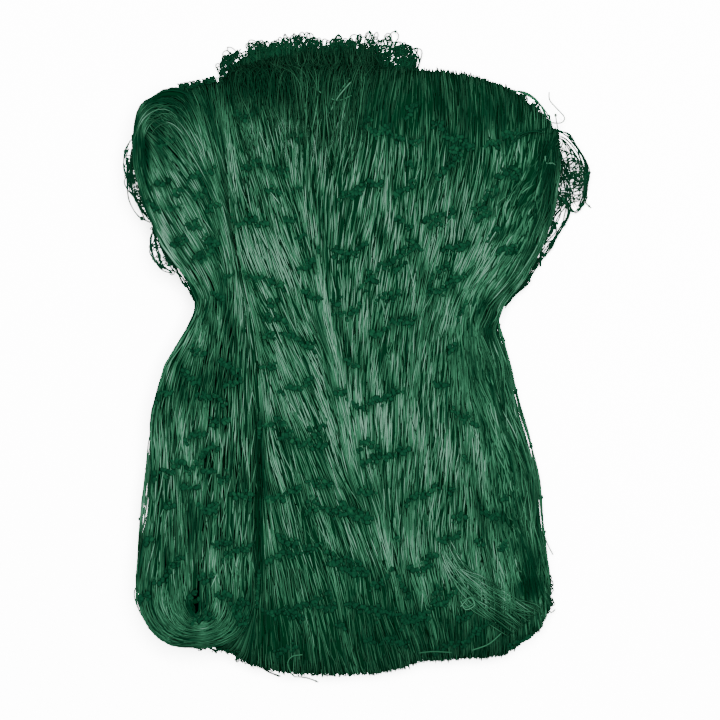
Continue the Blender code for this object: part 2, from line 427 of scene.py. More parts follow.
@dataclass(frozen=True)
class FoldedStack:
    """Lays the section in space: waist, troughs, upturned left margin and right flank."""

    winding: Winding = Winding()
    waist_dip: float = 3.0
    waist_y: float = 18.0
    waist_spread: float = 45.0
    end_blend: float = 70.0
    bend_share: float = 0.84
    bend_fullness: float = 0.7
    groove_radius: float = 2.0
    margin_rise: float = 2.5
    margin_unevenness: float = 1.6
    flank_start: float = 0.72
    flank_bulge: float = 10.0
    main_trough: float = 0.34
    edge_waves: Pair = (0.05, 11.0)
    swell: float = 1.3
    swell_across: Pair = (9.0, 4.0)
    swell_along: Pair = (0.02, 0.035)
    least_radius: float = 0.3
    top_reach: Pair = (22.0, 26.0)
    corrections: int = 4

    def lines(self, names: str, y: Array) -> list[Array]:
        """Read the outline's lines of these names at stations."""
        return [OUTLINE.read(name, y) for name in names.split()]

    def station(self, across: Array, along: Array, tail: Array) -> Array:
        """Where a point of the section lies along Y.

        Args:
            across: Place across the width.
            along: Its place along the section.
            tail: Its share of the free tail.

        Returns:
            Y, moved so that both ends follow ENDS and the free tail follows TAIL.
        """
        wind = self.winding
        head_turn = wind.reach(0.5 * (wind.height - 2.0 * wind.pitch))
        foot_turn = wind.reach(0.5 * (wind.height - wind.pitch))
        head_shift = ENDS.read("head", across) - (wind.head_centre + head_turn + 0.5 * wind.thickness)
        foot_shift = ENDS.read("foot", across) - (wind.foot_centre - foot_turn - 0.5 * wind.thickness)
        head_share = smooth_step(along, wind.head_centre - self.end_blend, wind.head_centre)
        foot_share = smooth_step(-along, -wind.foot_centre - self.end_blend, -wind.foot_centre)
        free = between(wind.head_centre + head_shift, TAIL.read("end", across), tail)
        return np.where(tail > 0.0, free, along + head_shift * head_share + foot_shift * foot_share)

    def scale(self, across: Array, y: Array) -> Array:
        """Height of the stack, as a share of the full one.

        Args:
            across: Place across the width.
            y: Place along Y.

        Returns:
            The share, lower at the waist and in the troughs.
        """
        low = self.waist_dip * np.exp(-(((y - self.waist_y) / self.waist_spread) ** 2))
        for centre, width, depth in TROUGHS:
            low = low + depth * np.exp(-(((across - centre) / width) ** 2))
        swell = self.swell
        for turn, wave in zip(self.swell_across, self.swell_along):
            swell = swell * np.sin(turn * across + wave * y)
        return 1.0 - (low + swell * smooth_step(across, 0.0, 0.2)) / self.winding.height

    def edge_rise(self, y: Array, level: Array) -> Array:
        """How far the margin's edge stands up past its bend, uneven along the net."""
        wave, turn = self.edge_waves
        return self.margin_rise + self.margin_unevenness * np.sin(wave * y + turn * level)

    def margin(self, across: Array, y: Array, level: Array) -> Array:
        """Points of the upturned margin.

        x = groove - r (sin a)^f and z = h + g - ((1 - level) h + g) (cos a)^f, where the
        radius r runs from the groove's own at the top of the stack to the left edge at its
        bottom, and a fullness f below 1 makes the bend squarer than an ellipse.

        Args:
            across: Place across the width, from -1 to 0.
            y: Place along Y.
            level: Share of the stack's height, from 0 to 1.

        Returns:
            Points in space.
        """
        height = self.winding.height * self.scale(0.0 * across, y)
        left, core, groove = self.lines("left core groove", y)
        inner = between(groove - core, self.groove_radius, 2.0 * level - 1.0)
        outer = between(groove - left, groove - core, 2.0 * level)
        radius = np.maximum(np.where(level > 0.5, inner, outer), self.least_radius)
        angle = 0.5 * math.pi * np.clip(-across / self.bend_share, 0.0, 1.0)
        share = np.maximum(0.0, -across - self.bend_share) / (1.0 - self.bend_share)
        out_share, down_share = (turn(angle) ** self.bend_fullness for turn in (np.sin, np.cos))
        z = height + self.groove_radius - ((1.0 - level) * height + self.groove_radius) * down_share
        return np.stack([groove - radius * out_share, y, z + self.edge_rise(y, level) * share], axis=-1)

    def main(self, across: Array, y: Array, level: Array) -> Array:
        """Points of the flat part: x follows the trough, z is the level times the height.

        Args:
            across: Place across the width, from 0 to 1.
            y: Place along Y.
            level: Share of the stack's height.

        Returns:
            Points in space.
        """
        groove, trough, right = self.lines("groove trough right", y)
        near = between(groove, trough, across / self.main_trough)
        far = between(trough, right, (across - self.main_trough) / (1.0 - self.main_trough))
        bulge = self.flank_bulge * (2.0 * level - 1.0) ** 2 * smooth_step(across, self.flank_start, 1.0)
        x = np.where(across < self.main_trough, near, far) - bulge
        return np.stack([x, y, level * self.winding.height * self.scale(across, y)], axis=-1)

    def lay(self, across: Array, travel: Array, lift: Array) -> Array:
        """Lay points of the ribbon in space.

        Args:
            across: Place across the width, from -1 at the margin's edge to 1 at the right.
            travel: Distance along the ribbon.
            lift: Distance outwards from the ribbon's middle.

        Returns:
            Points, with one more axis than the arguments.
        """
        across, travel, lift = np.broadcast_arrays(across, travel, lift)
        along, height, tail, out_along, out_height = self.winding.at(travel)
        along = along + lift * out_along
        level = (height + lift * out_height - self.winding.underside) / self.winding.height
        y = self.station(across, along, tail)
        margin = self.margin(np.minimum(across, 0.0), y, level)
        main = self.main(np.maximum(across, 0.0), y, level)
        return np.where(across[..., None] < 0.0, margin, main)

    def normals(self, across: Array, travel: Array, lift: Array) -> Array:
        """Outward directions, from the difference of two nearby lifts."""
        return unit(self.lay(across, travel, lift + 0.2) - self.lay(across, travel, lift - 0.2))

    def across_at(self, x: Array, y: Array) -> Array:
        """Place across the flat part that a plan position has.

        Args:
            x: Positions across.
            y: Positions along.

        Returns:
            0 at the groove and 1 at the right edge.
        """
        groove, trough, right = self.lines("groove trough right", y)
        near = self.main_trough * (x - groove) / (trough - groove)
        far = self.main_trough + (1.0 - self.main_trough) * (x - trough) / (right - trough)
        return np.where(x < trough, near, far)

    def top_travel(self, across: Array, y: Array) -> Array:
        """Travel at which the top run passes a station, found by a few corrections.

        Args:
            across: Place across the width.
            y: Place along Y.

        Returns:
            The travel.
        """
        start, stop = self.winding.run_span(1)
        travel = start + (self.winding.head_centre - y)
        for _ in range(self.corrections):
            travel = travel + self.lay(across, travel, 0.0 * y)[..., 1] - y
            travel = np.clip(travel, start - self.top_reach[0], stop + self.top_reach[1])
        return travel


HEAD_NOSE = Table("x y", ((-92, 113), (-80, 116.8), (-58, 122), (-40, 126)))


@dataclass(frozen=True)
class Crown:
    """Height of the net's upper face at a plan position, over the margin and the flat part.

    The two heights ease into each other across the groove, which is a notch of its own.
    """

    stack: FoldedStack
    groove_depth: float = 3.0
    groove_width: float = 1.8
    groove_fade: Pair = (40.0, 80.0)
    blend: Pair = (-3.5, 0.5)
    nose_power: float = 5.0

    def margin(self, x: Array, y: Array) -> Array:
        """Height over the upturned margin's edge, from the level that stands there.

        Args:
            x: Positions across.
            y: Positions along.

        Returns:
            Heights, before the ends round down.
        """
        stack = self.stack
        left, core, groove = stack.lines("left core groove", y)
        outer = 0.5 * (x - left) / (core - left)
        inner = 0.5 + 0.5 * (x - core) / (groove - stack.groove_radius - core)
        level = np.clip(np.where(x < core, outer, inner), 0.0, 1.0)
        bend = stack.winding.height * stack.scale(0.0 * y, y) + stack.groove_radius
        return bend + stack.edge_rise(y, level)

    def flat(self, x: Array, y: Array) -> Array:
        """Height of the top run's upper face."""
        wind = self.stack.winding
        across = np.clip(self.stack.across_at(x, y), 0.0, 1.0)
        return (wind.height - wind.pitch + wind.thickness) * self.stack.scale(across, y)

    def height(self, x: Array, y: Array) -> Array:
        """Height at plan positions.

        Args:
            x: Positions across.
            y: Positions along, of the same shape.

        Returns:
            Heights, which round down to half the stack at the head.
        """
        wind = self.stack.winding
        (groove,) = self.stack.lines("groove", y)
        fade, end = self.groove_fade
        notch = self.groove_depth * np.exp(-(((x - groove) / self.groove_width) ** 2))
        top = between(self.margin(x, y), self.flat(x, y), smooth_step(x - groove, *self.blend))
        top = top - notch * smooth_step(-y, -end, -fade)
        nose = HEAD_NOSE.read("y", x) - wind.head_centre
        past = np.clip((y - wind.head_centre) / nose, 0.0, 0.999)
        middle = 0.5 * wind.height
        return middle + (top - middle) * (1.0 - past**self.nose_power) ** (1.0 / self.nose_power)


# Finishes


def linear(hex_colour: str) -> tuple[float, float, float, float]:
    """Turn an sRGB hex colour into linear values."""
    channels = [int(hex_colour[start : start + 2], 16) / 255.0 for start in (1, 3, 5)]
    return tuple(c / 12.92 if c <= 0.04045 else ((c + 0.055) / 1.055) ** 2.4 for c in channels) + (1.0,)


def add_node(
    tree: bpy.types.NodeTree, kind: str, links: dict | None = None, **settings: object
) -> bpy.types.Node:
    """Add a shader node.

    Args:
        tree: The material's node tree.
        kind: The node's type name.
        links: What feeds its inputs: a socket, or a value for the input itself.
        **settings: Properties of the node.

    Returns:
        The new node.
    """
    node = tree.nodes.new(kind)
    for name, value in settings.items():
        setattr(node, name, value)
    for name, value in (links or {}).items():
        if isinstance(value, bpy.types.NodeSocket):
            tree.links.new(value, node.inputs[name])
        else:
            node.inputs[name].default_value = value
    return node


@dataclass(frozen=True)
class TwineFinish:
    """Drawn and twisted polyethylene twine, dyed through: waxy, slightly glossy.

    Its colour runs from deep green to pale sage along a tone that each point carries, and
    that tone paints light and shade: deep where strands shade each other, pale sage as a
    painted sheen where their rounded tops catch the light. The twist, about 3 mm a turn on
    a real strand, bumps that into short dashes.
    """

    name: str
    deep: str
    middle: str
    pale: str
    roughness: float
    specular: float
    ior: float = 1.51
    sheen: str = "#a9e6c6"
    twist_pitch: float = 3.2
    twist_depth: float = 0.35
    twist_height: float = 0.0001
    twist_waves: float = 0.32
    twist_unevenness: float = 0.6

    def build(self) -> bpy.types.Material:
        """Make the material.

        Returns:
            A shader that reads each strand's tone and twist.
        """
        material = bpy.data.materials.new(self.name)
        material.use_nodes = True
        tree = material.node_tree
        shader = tree.nodes["Principled BSDF"]
        shader.inputs["Roughness"].default_value = self.roughness
        shader.inputs["Specular IOR Level"].default_value = self.specular
        shader.inputs["IOR"].default_value = self.ior
        shader.inputs["Specular Tint"].default_value = linear(self.sheen)
        tone = add_node(tree, "ShaderNodeAttribute", attribute_name="tone")
        ramp = add_node(tree, "ShaderNodeValToRGB", {"Fac": tone.outputs["Fac"]})
        stops = ramp.color_ramp.elements
        stops[0].color = linear(self.deep)
        stops[1].color = linear(self.pale)
        stops.new(0.5).color = linear(self.middle)
        tree.links.new(ramp.outputs["Color"], shader.inputs["Base Color"])
        place = add_node(tree, "ShaderNodeUVMap", uv_map="twist")
        turns = add_node(tree, "ShaderNodeMapping", {"Vector": place.outputs["UV"]})
        turns.inputs["Scale"].default_value = (1.0 / self.twist_pitch, 1.0, 1.0)
        twist = {"Vector": turns.outputs["Vector"], "Scale": self.twist_waves}
        twist["Distortion"] = self.twist_unevenness
        wave = add_node(tree, "ShaderNodeTexWave", twist, wave_type="BANDS", bands_direction="DIAGONAL")
        relief = {"Height": wave.outputs["Fac"], "Strength": self.twist_depth}
        relief["Distance"] = self.twist_height
        bump = add_node(tree, "ShaderNodeBump", relief)
        tree.links.new(bump.outputs["Normal"], shader.inputs["Normal"])
        return material


class Finish(Enum):
    """The netting's finishes: strands, knots, and the massed twine between strands, coloured near black as
    painted shadow.
    """

    # The ramps' deep stops stand for painted shade and their pale stops for painted sheen; the knots' ramp
    # is darker, as knots get no painted sheen.
    STRAND = TwineFinish("drawn_twine", "#000a04", "#10291c", "#273b31", 0.5, 0.0)
    KNOT = TwineFinish("knotted_twine", "#010b05", "#021209", "#04180d", 0.7, 0.0, twist_pitch=1.1)
    # Painted shadow: the massed twine under the strands is coloured near black, for the shade deep in the
    # net.
    SHADOW_MASS = TwineFinish("massed_twine_in_painted_shadow", "#000602", "#000b04", "#001007", 0.85, 0.0, twist_pitch=1.2)


# The net itself


@dataclass
class NetSheet:
    """The gathered net itself: the ribbon of massed strands, folded back and forth."""

    stack: FoldedStack
    thinning: float = 0.75
    settling: float = 0.22
    margin_steps: int = 12
    main_steps: int = 30
    edge: float = -0.95
    uv_width: float = 60.0
    tone: float = 0.3

    def build(self) -> Cloud:
        """Loft the section's ring across the width.

        Returns:
            The sheet, whose outer face is a little inside the solid's, so strands lie on it.
        """
        wind = self.stack.winding
        half = 0.5 * wind.thickness - self.thinning
        count = len(wind.travel)
        travel = np.concatenate([wind.travel, wind.travel[::-1]])
        lift = np.repeat([half, -half], count)
        margin = np.linspace(self.edge, 0.0, self.margin_steps)[:-1]
        across = np.concatenate([margin, np.linspace(0.0, 1.0, self.main_steps)])
        grid = self.stack.lay(across[:, None], travel[None, :], lift[None, :])
        grid[..., 2] += self.settling
        index = np.arange(grid.shape[0] * grid.shape[1]).reshape(grid.shape[:2])
        following = np.roll(index, -1, axis=1)
        quads = np.stack([index[:-1], following[:-1], following[1:], index[1:]], axis=-1).reshape(-1, 4)
        for edge, flip in ((index[0], True), (index[-1], False)):
            there, back = edge[:count], edge[count:][::-1]
            cap = np.stack([there[:-1], there[1:], back[1:], back[:-1]], axis=-1)
            quads = np.concatenate([quads, cap[:, ::-1] if flip else cap])
        cloud = Cloud("net_sheet")
        uv = np.stack(np.broadcast_arrays(travel[None, :], self.uv_width * across[:, None]), axis=-1)
        uv, no_tris = uv.reshape(-1, 2)[quads].reshape(-1, 2), np.zeros((0, 3), dtype=int)
        cloud.add(grid.reshape(-1, 3), quads, no_tris, uv, np.full(index.size, self.tone))
        return cloud


# Knots


# Rows of knots on the flat part: left end and right end of each, in plan.
FLAT_ROWS = (
    (-55.5, 61, -39.5, 59), (-50.5, 37, -32, 32.5), (-26.5, 37, -17, 48.5), (-8.5, 43.5, 3.5, 51),
    (3.5, 37.5, 24.5, 48.5), (29.5, 28, 48.5, 37), (-4, 73, 10.5, 77), (15.5, 69.5, 24.5, 77),
    (28, 61.5, 42, 63.5), (50, 67, 58.5, 65.5), (-11, 19, 1, 22.5), (4.5, 10, 25, 19.5),
    (-54, -30, -32, -27.5), (-32, -34, -13.5, -37.5), (-2.5, -21, 20, -13), (1, -45, 22, -38.5),
    (-40.5, -60.5, -24.5, -56), (-21.5, -62, 4.5, -69.5), (-40.5, -86.5, -17, -80.5),
    (-14.5, -84, 1.5, -88), (20, -62.5, 34.5, -55.5), (21, -91, 34, -85), (-43, -109, -10, -106),
    (-41, 10.5, -36, 10.5), (-33.5, 12.5, -18, 4.5), (-42.5, -4.5, -35.5, -1), (-6, -1, 0, -3),
    (-34.5, -13.5, -20, -9.5), (-11, -12.5, -4.5, -16), (-7, -65.5, 6, -68.5), (-14, -88.5, 5, -92.5),
    (5, -97.5, 14.5, -92.5), (50.5, -80.5, 55, -78.5), (17.5, -94.5, 22, -103.5), (73, 79, 85.5, 83.5),
    (58.5, 52, 67.5, 57), (67.5, 46, 78.5, 50), (49, 18.5, 54, 26.5), (-6, -105.5, 17.5, -110.5),
    (17.5, -115, 42.5, -101), (44.5, -123, 58.5, -112), (-47.5, -105.5, -42.5, -87.5),
    (1.5, 100.5, 20, 96.5), (20.5, 107, 25, 112), (32, 101, 49, 93), (57.5, 92, 77.5, 99.5),
)

# The same on the upturned margin.
MARGIN_ROWS = (
    (-94, -51.5, -88, -50), (-96.5, -79, -89, -77), (-81.5, -90, -75.5, -85.5), (-88, -96, -82, -94.5),
    (-95, -102.5, -89.5, -101), (-54.5, -57.5, -45.5, -59.5), (-59, -85.5, -46, -79.5),
    (-68.5, -94.5, -61.5, -91.5), (-55.5, -106, -47.5, -105.5), (-67, -65.5, -60.5, -62.5),
    (-67, -39.5, -60, -37.5), (-80, -44.5, -74, -43), (-65, -28, -55.5, -26.5), (-85, -48, -79, -47.5),
    (-84, -62.5, -79, -62), (-69.5, -43, -64.5, -39.5), (-69, -61.5, -61.5, -67), (-76, -5.5, -67.5, -9),
    (-88, -16.5, -80, -14), (-60, 0, -52, -5.5), (-58, -10.5, -50, -8), (-88, 74.5, -82, 77),
    (-80, 72, -73, 74.5), (-82.5, 63.5, -75.5, 66.5), (-73, 79, -61.5, 81), (-91.5, 68, -86, 64),
    (-74, 57, -68, 60.5), (-66, 64, -60, 66.5), (-80.5, 49.5, -74, 52.5), (-71.5, 43, -63.5, 46.5),
    (-67, 52.5, -60, 50), (-59, 35, -54, 37), (-63.5, 30.5, -58, 26.5), (-87, 92, -80, 94.5),
)


@dataclass
class KnotRows:
    """Plan positions of the knots: wavy rows, and small groups about one mesh side apart."""

    seed: int = 23
    per_length: float = 1.9
    scatter: float = 1.0
    wander: float = 1.1
    side: float = 11.5
    beside: float = 17.0
    share: float = 0.6
    group: Pair = (3.0, 13.0)
    row_waves: Pair = (5.0, 14.0)
    wave_seed: int = 6
    half_span: float = 100.0
    jitter: Pair = (4.0, 1.8)
    tilt: Pair = (0.12, 0.2)

    def positions(self, rows: Array) -> Array:
        """Scatter knots along rows.

        Args:
            rows: Each row's left end and right end.

        Returns:
            Knot positions, of shape (knots, 2).
        """
        rng = np.random.default_rng(self.seed)
        wave = Ripple(self.wave_seed, self.wander, *self.row_waves)
        ends = np.array(rows)
        width = np.hypot(ends[:, 2] - ends[:, 0], ends[:, 3] - ends[:, 1])
        counts = np.maximum(1, np.round(self.per_length * width)).astype(int)
        owner = np.repeat(np.arange(len(ends)), counts)
        first = np.repeat(np.cumsum(counts) - counts, counts)
        share = (np.arange(len(owner)) - first + rng.uniform(0.1, 0.9, len(owner))) / counts[owner]
        x = between(ends[owner, 0], ends[owner, 2], share)
        y = between(ends[owner, 1], ends[owner, 3], share) + wave.at(x, 7.0 * ends[owner, 1])
        spread = self.scatter * rng.normal(0.0, 1.0, (2, len(x)))
        return np.stack([x + 0.4 * spread[0], y + spread[1]], axis=1)

    def groups(self, low: float, high: float, left: Callable, right: Callable) -> Array:
        """Short rows on a jittered lattice: one mesh side apart along Y.

        Args:
            low: Lowest Y.
            high: Highest Y.
            left: Gives the region's left edge at a Y.
            right: Gives its right edge.

        Returns:
            Each group's left end and right end, of shape (groups, 4).
        """
        rng = np.random.default_rng(self.seed + 1)
        beside = np.arange(-self.half_span, self.half_span, self.beside)
        y, x = np.meshgrid(np.arange(low, high, self.side), beside, indexing="ij")
        x = x + 0.5 * self.beside * (np.arange(len(x)) % 2)[:, None]
        x = (x + rng.uniform(-self.jitter[0], self.jitter[0], x.shape)).ravel()
        y = (y + rng.normal(0.0, self.jitter[1], y.shape)).ravel()
        half = 0.5 * rng.uniform(*self.group, len(x))
        kept = rng.random(len(x)) < self.share
        inside = (x - half > left(y)) & (x + half < right(y)) & kept
        rise = rng.normal(*self.tilt, len(x)) * half
        return np.stack([x - half, y - rise, x + half, y + rise], axis=1)[inside]


@dataclass
class Crowd:
    """How thick the knots lie in plan, 0 to 1, on a grid of half-millimetre cells."""

    spots: Array
    cell: float = 0.5
    blur: float = 1.3
    blur_cells: int = 8
    full: float = 1.1
    reach: float = 160.0

    def __post_init__(self) -> None:
        """Count the knots of each cell and blur the counts with a Gaussian, along each axis."""
        count = round(2.0 * self.reach / self.cell)
        edges = np.linspace(-self.reach, self.reach, count + 1)
        grid = np.histogram2d(self.spots[:, 0], self.spots[:, 1], bins=(edges, edges))[0]
        steps = np.arange(-self.blur_cells, self.blur_cells + 1)
        weights = np.exp(-0.5 * (steps * self.cell / self.blur) ** 2)
        for axis in (0, 1):
            grid = sum(weight * np.roll(grid, step, axis=axis) for step, weight in zip(steps, weights))
        self.grid = np.clip(self.full * grid / weights.sum(), 0.0, 1.0)

    def at(self, x: Array, y: Array) -> Array:
        """Read the cells that plan positions fall in."""
        spot = (np.clip(((v + self.reach) / self.cell).astype(int), 0, len(self.grid) - 1) for v in (x, y))
        return self.grid[tuple(spot)]


@dataclass
class Knots:
    """Small hard knots where strands are tied."""

    stack: FoldedStack
    crown: Crown
    seed: int = 29
    size: float = 0.98
    segments: int = 6
    rings: int = 3
    length: float = 1.1
    tip: float = 1.15
    flatness: float = 0.7
    sizes: Pair = (0.75, 1.3)
    stretch: Pair = (0.85, 1.15)
    turning: float = 0.5
    tone: Pair = (0.45, 0.2)
    lifts: Pair = (-0.1, 0.7)
    lowest: float = 0.02
    hollow_limit: float = 0.68
    lanes: Pair = (-0.04, 0.99)
    margin_way: Triple = (0.25, 1.0, 0.0)

    def __post_init__(self) -> None:
        """Start the knots' own random draws."""
        self.rng = np.random.default_rng(self.seed)

    def lump(self) -> tuple[Array, Array, Array]:
        """One knot's mesh: a ball of the given rings and segments, longer along X.

        Returns:
            Its points, quads and triangles.
        """
        polar = math.pi * np.arange(1, self.rings) / self.rings
        turn = 2.0 * math.pi * np.arange(self.segments) / self.segments
        x = self.length * np.cos(polar)[:, None] * np.ones(self.segments)
        y = np.sin(polar)[:, None] * np.cos(turn)
        z = np.sin(polar)[:, None] * np.sin(turn)
        body = np.stack([x, y, z], axis=-1).reshape(-1, 3)
        points = np.concatenate([body, [[self.tip, 0.0, 0.0], [-self.tip, 0.0, 0.0]]])
        index = np.arange(len(body)).reshape(self.rings - 1, self.segments)
        nxt = np.roll(index, -1, axis=1)
        quads = np.stack([index[:-1], index[1:], nxt[1:], nxt[:-1]], axis=-1).reshape(-1, 4)
        top = np.stack([np.full(self.segments, len(body)), index[0], nxt[0]], axis=-1)
        bottom = np.stack([np.full(self.segments, len(body) + 1), nxt[-1], index[-1]], axis=-1)
        return points, quads, np.concatenate([top, bottom])

    def place(self, cloud: Cloud, centres: Array, directions: Array, ups: Array, scale: float = 1.0) -> None:
        """Put knots at points, each along its own strand.

        Args:
            cloud: The mesh to add to.
            centres: Where the knots sit.
            directions: Which way their strands run.
            ups: Outward directions.
            scale: Their size, as a share of a full knot.
        """
        points, quads, tris = self.lump()
        count = len(centres)
        forward = unit(directions + self.turning * self.rng.normal(0.0, 1.0, (count, 3)))
        side = unit(np.cross(forward, ups))
        axes = np.stack([forward, side, np.cross(side, forward)], axis=1)
        sizes = scale * self.size * self.rng.uniform(*self.sizes, (count, 1, 1))
        sizes = sizes * self.rng.uniform(*self.stretch, (count, 1, 3))
        lumps = points[None] * sizes * [1.0, 1.0, self.flatness]
        placed = centres[:, None, :] + np.einsum("kpa,kab->kpb", lumps, axes)
        placed[..., 2] = np.maximum(placed[..., 2], self.lowest)
        offset = (len(points) * np.arange(count))[:, None, None]
        # Painted shade: knots darken towards both folds, as the strands do.
        shade = np.clip(FOLD_SHADE.read("share", centres[:, 1]), 0.0, 1.0)
        tone = np.repeat(np.clip(self.rng.normal(*self.tone, count), 0.0, 1.0) * shade, len(points))
        all_quads = (quads[None] + offset).reshape(-1, 4)
        uv = np.zeros((len(all_quads) * 4, 2))
        cloud.add(placed.reshape(-1, 3), all_quads, (tris[None] + offset).reshape(-1, 3), uv, tone)

    def on_flat(self, cloud: Cloud, spots: Array) -> None:
        """Put knots on the top run, at random lifts.

        Args:
            cloud: The mesh to add to.
            spots: Plan positions.
        """
        across = np.clip(self.stack.across_at(*spots.T), *self.lanes)
        travel = self.stack.top_travel(across, spots[:, 1])
        lift = 0.5 * self.stack.winding.thickness + self.rng.uniform(*self.lifts, len(spots))
        centres = self.stack.lay(across, travel, lift)
        directions = unit(self.stack.lay(across, travel + 1.0, lift) - centres)
        self.place(cloud, centres, directions, self.stack.normals(across, travel, lift))

    def on_margin(self, cloud: Cloud, spots: Array) -> None:
        """Put knots on the margin's edge, at plan positions and random lifts."""
        height = self.crown.height(*spots.T) + self.rng.uniform(*self.lifts, len(spots))
        centres = np.concatenate([spots, height[:, None]], axis=1)
        self.place(cloud, centres, np.array(self.margin_way), UP)


# Strands


LEAN_PLACES = (0.08, 0.25, 0.42, 0.60, 0.80, 0.95)
LEANS = Table("y groove left trough centre right edge", (
    (-123, -5, -14, -17, -3, 5, 6),
    (-96, -9, -15, -10, -7, -10, -13),
    (-70, -20, -20, -1, 3, -6, -10),
    (-44, -20, -20, 3, 3, 3, -17),
    (-17, -14, -18, -3, 4, 0, -18),
    (9, -28, -26, 3, 8, 6, -4),
    (35, -24, -20, 10, 6, 22, 31),
    (61, -20, -12, 9, 5, 16, 21),
    (88, -16, -8, 12, 2, 9, 13),
    (115, -10, -8, 14, 8, -8, -22),
))

# Painted shade: spots where the strands' tones are darkened, over hollows where the net
# dives and over stretches that lie in shade; strands also sink a little there.
# Plan centre, half widths and strength.
SHADE_HOLLOWS = (
    (56, 11, 4.4, 21.9, 0.7), (-60, 27, 7, 14.9, 0.5), (-62, -8, 13, 7, 0.8), (-77, -15, 10, 8, 0.7),
    (63, -17.5, 3.5, 11.4, 0.6), (74, -44.5, 3.1, 9.6, 0.45), (66, -60, 13, 36, 0.58),
    (64, -16, 9, 24, 0.5), (70, 30, 14, 40, 0.4), (32, 110, 18, 10, 0.75), (58, 84, 22, 22, 0.2),
    (62, -112, 26, 16, 0.65), (75.5, -90, 8, 15, 1), (75, -98, 8, 7.5, 1.35),
    (-42.5, 117.5, 30.7, 11, 0.7), (13, 107, 19, 11, 0.8), (57.5, 104.5, 28, 13, 0.88),
    (-25.5, -119.5, 28, 10.5, 0.45), (31.5, -117, 28, 10.5, 0.6), (0, -100, 70, 12, 0.2),
    (-82, 107.5, 24, 16.5, 0.88), (-66, 104, 8, 18, 0.6), (-65, 80, 2.4, 15, 0.6),
    (-61, 56, 2.4, 15, 0.65), (-57, 34, 2.4, 14, 0.6), (-42.8, -62, 2, 48, 1.2), (49, -2, 13, 19, 0.69),
    (-91.6, 88.5, 3, 10.5, 1.3), (-96, 97, 4.5, 20, 1), (83.5, 88, 6, 18, 1.1), (80, 54, 9, 34, 0.6),
    (-42, -113, 12, 14, 0.75), (-70.7, -106.5, 4.4, 4.6, 1.35), (-72, -76, 5.5, 11, 0.7),
    (-74, -79, 2.6, 21.9, 0.3),
)


# Painted shade towards both folds, where the net curves away from the light, and a little painted light on
# the top before the head: place along Y, share of tone.
FOLD_SHADE = Table("y share", (
    (-138, 0.4), (-125, 0.48), (-108, 0.72), (-92, 0.88), (-76, 1), (92, 1.1), (104, 0.95), (113, 0.38),
    (128, 0.18),
))


@dataclass(frozen=True)
class Coat:
    """How one coat of strands lies on the net."""

    pitch: float
    lift: float
    lift_spread: float
    length: Pair
    # Mean tone: lower coats get darker tones as painted shade, upper coats paler ones as painted sheen.
    tone: float
    tone_spread: float = 0.17
    radius: float = 0.26
    step: float = 4.0
    bury: float = 1.3
    stray: float = 3.0
    wander: float = 1.0
    give: float = 1.0

    @property
    def mean_length(self) -> float:
        """Of its strands."""
        return 0.5 * sum(self.length)


@dataclass(frozen=True)
class Swath:
    """A band of strands between guide curves, each a list of plan or space positions.

    Rim is how far the band bends down at its last guide, and ragged how unevenly it ends.
    """

    guides: tuple | Array
    closed: bool = False
    rim: float = 0.0
    ragged: float = 0.0
    grid_step: float = 0.05

    @cached_property
    def curves(self) -> Array:
        """The guides' own points, of shape (guides, points, axes)."""
        return np.array(self.guides, dtype=float)

    @cached_property
    def grid(self) -> Array:
        """Even places along the guides, counted in their points."""
        last = self.curves.shape[1] - (0 if self.closed else 1)
        return np.arange(0.0, last + 1e-6, self.grid_step)

    @cached_property
    def travel(self) -> Array:
        """Distance along the mean guide at the grid's places."""
        middle = np.mean([spline(curve, self.grid, self.closed) for curve in self.curves], axis=0)
        steps = np.linalg.norm(np.diff(middle, axis=0), axis=1)
        return np.concatenate([[0.0], np.cumsum(steps)])

    @cached_property
    def width(self) -> Array:
        """Distance between the outer guides at the grid's places."""
        first, last = (spline(self.curves[index], self.grid, self.closed) for index in (0, -1))
        return np.linalg.norm(last - first, axis=1)

    def lay(self, lane: Array, travel: Array) -> Array:
        """Lay strands between the guides.

        Args:
            lane: 0 on the first guide, 1 on the last one.
            travel: Distance along the mean guide.

        Returns:
            Points with as many axes as the guides have.
        """
        total = self.travel[-1]
        travel = np.mod(travel, total) if self.closed else travel
        place = np.interp(travel, self.travel, self.grid)
        count = len(self.curves)
        spot = np.clip(lane * (count - 1), 0.0, count - 1.001)
        low = np.floor(spot).astype(int)
        laid = np.stack([spline(curve, place, self.closed) for curve in self.curves])
        rows, columns = np.indices(place.shape)
        over = (lane * (count - 1) - low)[..., None]
        return between(laid[low, rows, columns], laid[low + 1, rows, columns], over)


